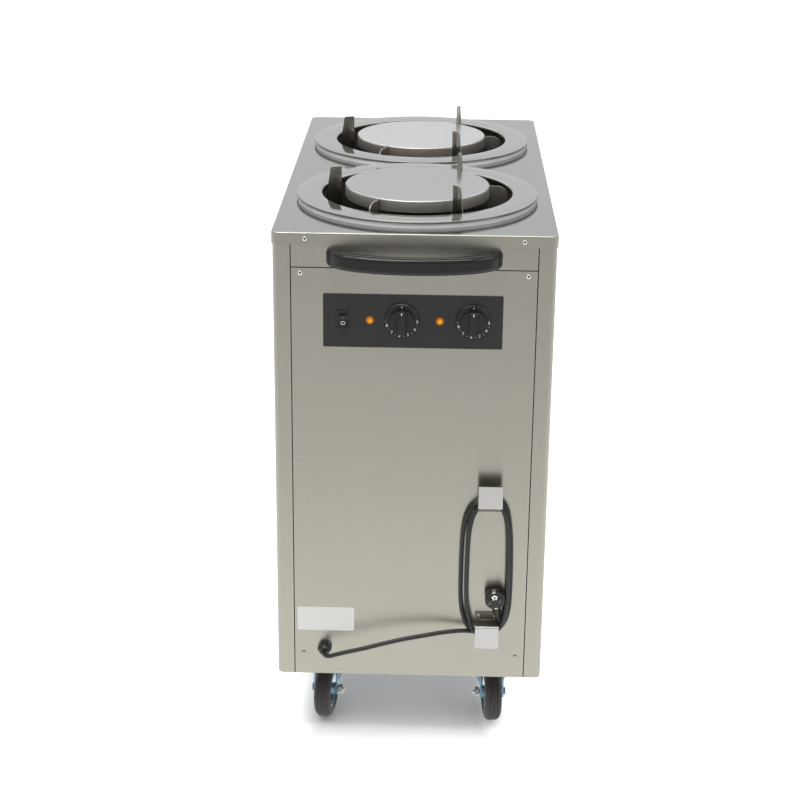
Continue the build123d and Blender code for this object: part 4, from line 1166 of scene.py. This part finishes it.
def stage_floor():
    """Pale floor: takes the lamps' shadows near the object, inside a box whose shape is painted shadow, and
    is white to the camera further off.
    """
    material = bpy.data.materials.new("stage_floor")
    material.use_nodes = True
    graph = Graph(material.node_tree)
    graph.tree.nodes.clear()
    path = graph.node("ShaderNodeLightPath")
    place = graph.node("ShaderNodeTexCoord").outputs["Object"]
    y = graph.part(place, "Y")

    def away(distance, reach):
        return graph.ranged(graph.math("ABSOLUTE", distance), FLOOR_GLOW_NEAR, 1.0, *reach, smooth=True)

    aside = graph.math("SUBTRACT", graph.part(place, "X"), SHADE_MIDDLE_X)
    # The floor glows to the camera except in a box round the cabinet: painted shadow shape, where the lamps'
    # shadows show.
    white = graph.math("MAXIMUM", away(aside, SHADE_ACROSS), away(y, SHADE_ALONG))
    in_front = graph.math("MULTIPLY_ADD", y, -1.0, PANEL_Y)
    mirrored = graph.ranged(in_front, *REFLECTED_GLOW, *REFLECTED_FROM, smooth=True)
    to_camera = graph.math("MULTIPLY", white, path.outputs["Is Camera Ray"])
    to_gloss = graph.math("MULTIPLY", mirrored, path.outputs["Is Glossy Ray"])
    glow = graph.node("ShaderNodeEmission")
    graph.link(graph.math("ADD", to_camera, to_gloss), glow.inputs["Strength"])
    diffuse = graph.node("ShaderNodeBsdfDiffuse")
    diffuse.inputs["Color"].default_value = FLOOR_COLOUR
    both = graph.node("ShaderNodeAddShader")
    graph.link(diffuse.outputs[0], both.inputs[0])
    graph.link(glow.outputs[0], both.inputs[1])
    graph.link(both.outputs[0], graph.node("ShaderNodeOutputMaterial").inputs["Surface"])
    return material


def make_floor():
    """Large plain floor."""
    mesh = bmesh.new()
    bmesh.ops.create_grid(mesh, x_segments=1, y_segments=1, size=14.0)
    data = bpy.data.meshes.new("floor")
    mesh.to_mesh(data)
    mesh.free()
    floor = bpy.data.objects.new("floor", data)
    bpy.context.collection.objects.link(floor)
    data.materials.append(stage_floor())


def make_light(name, place, target, size, power):
    """Rectangular soft light aimed at a point."""
    data = bpy.data.lights.new(name, "AREA")
    data.shape = "RECTANGLE"
    data.size, data.size_y = size
    data.energy = power
    light = bpy.data.objects.new(name, data)
    bpy.context.collection.objects.link(light)
    light.location = place
    aim = Vector(target) - Vector(place)
    light.rotation_euler = aim.to_track_quat("-Z", "Y").to_euler()


WORLD_LIGHT = 0.42
WORLD_FRONT = 0.42
WORLD_BACK = 0.80
WORLD_LEFT_GAIN = 0.10
WORLD_TURN = (-0.9, 0.45)


def make_world():
    """Studio: white to the camera, even light, and reflections dimmer in front than behind."""
    world = bpy.data.worlds.new("studio")
    bpy.context.scene.world = world
    world.use_nodes = True
    graph = Graph(world.node_tree)
    path = graph.node("ShaderNodeLightPath")
    glossy = path.outputs["Is Glossy Ray"]
    direction = graph.node("ShaderNodeTexCoord").outputs["Generated"]
    y = graph.part(direction, "Y")
    behind = graph.ranged(y, WORLD_FRONT, WORLD_BACK, *WORLD_TURN, smooth=True)
    mirrored = graph.math("MULTIPLY_ADD", graph.part(direction, "X"), -WORLD_LEFT_GAIN, behind)
    to_gloss = graph.math("MULTIPLY", glossy, mirrored)
    seen = graph.math("MAXIMUM", path.outputs["Is Camera Ray"], to_gloss)
    matt = graph.math("MULTIPLY", graph.math("SUBTRACT", 1.0, glossy), WORLD_LIGHT)
    background = graph.tree.nodes["Background"]
    background.inputs["Color"].default_value = (1, 1, 1, 1)
    graph.link(graph.math("MAXIMUM", seen, matt), background.inputs["Strength"])


# ---------------------------------------------------------------- build
make_camera()
cord = make_cord()
for node, look in NODE_LOOKS.items():
    dress(node, look)
for well in WELLS:
    make_collar(well)
    make_spring(well)
    make_dial_marks(well)
for castor in CASTORS:
    make_tyre(castor)
    make_fork(castor)
make_rocker_marks()
make_seams()
make_label()
make_screw_recesses()
plug_contacts = make_plug_contacts()
make_floor()
make_world()
make_light("key_light", (-1.2, -1.6, 3.4), (0, 0, 0.5), (2.6, 2.0), 45)
make_light("fill_light", (2.2, -1.2, 2.4), (0, 0, 0.5), (1.8, 1.8), 16)
make_light("back_light", (0.0, 2.4, 2.8), (0, 0, 0.7), (2.6, 1.4), 14)
make_light("overhead_light", (0.0, -0.85, 2.2), (0, PANEL_Y, 0.86), (1.5, 0.35), 13)
bpy.context.scene.view_settings.view_transform = "Standard"
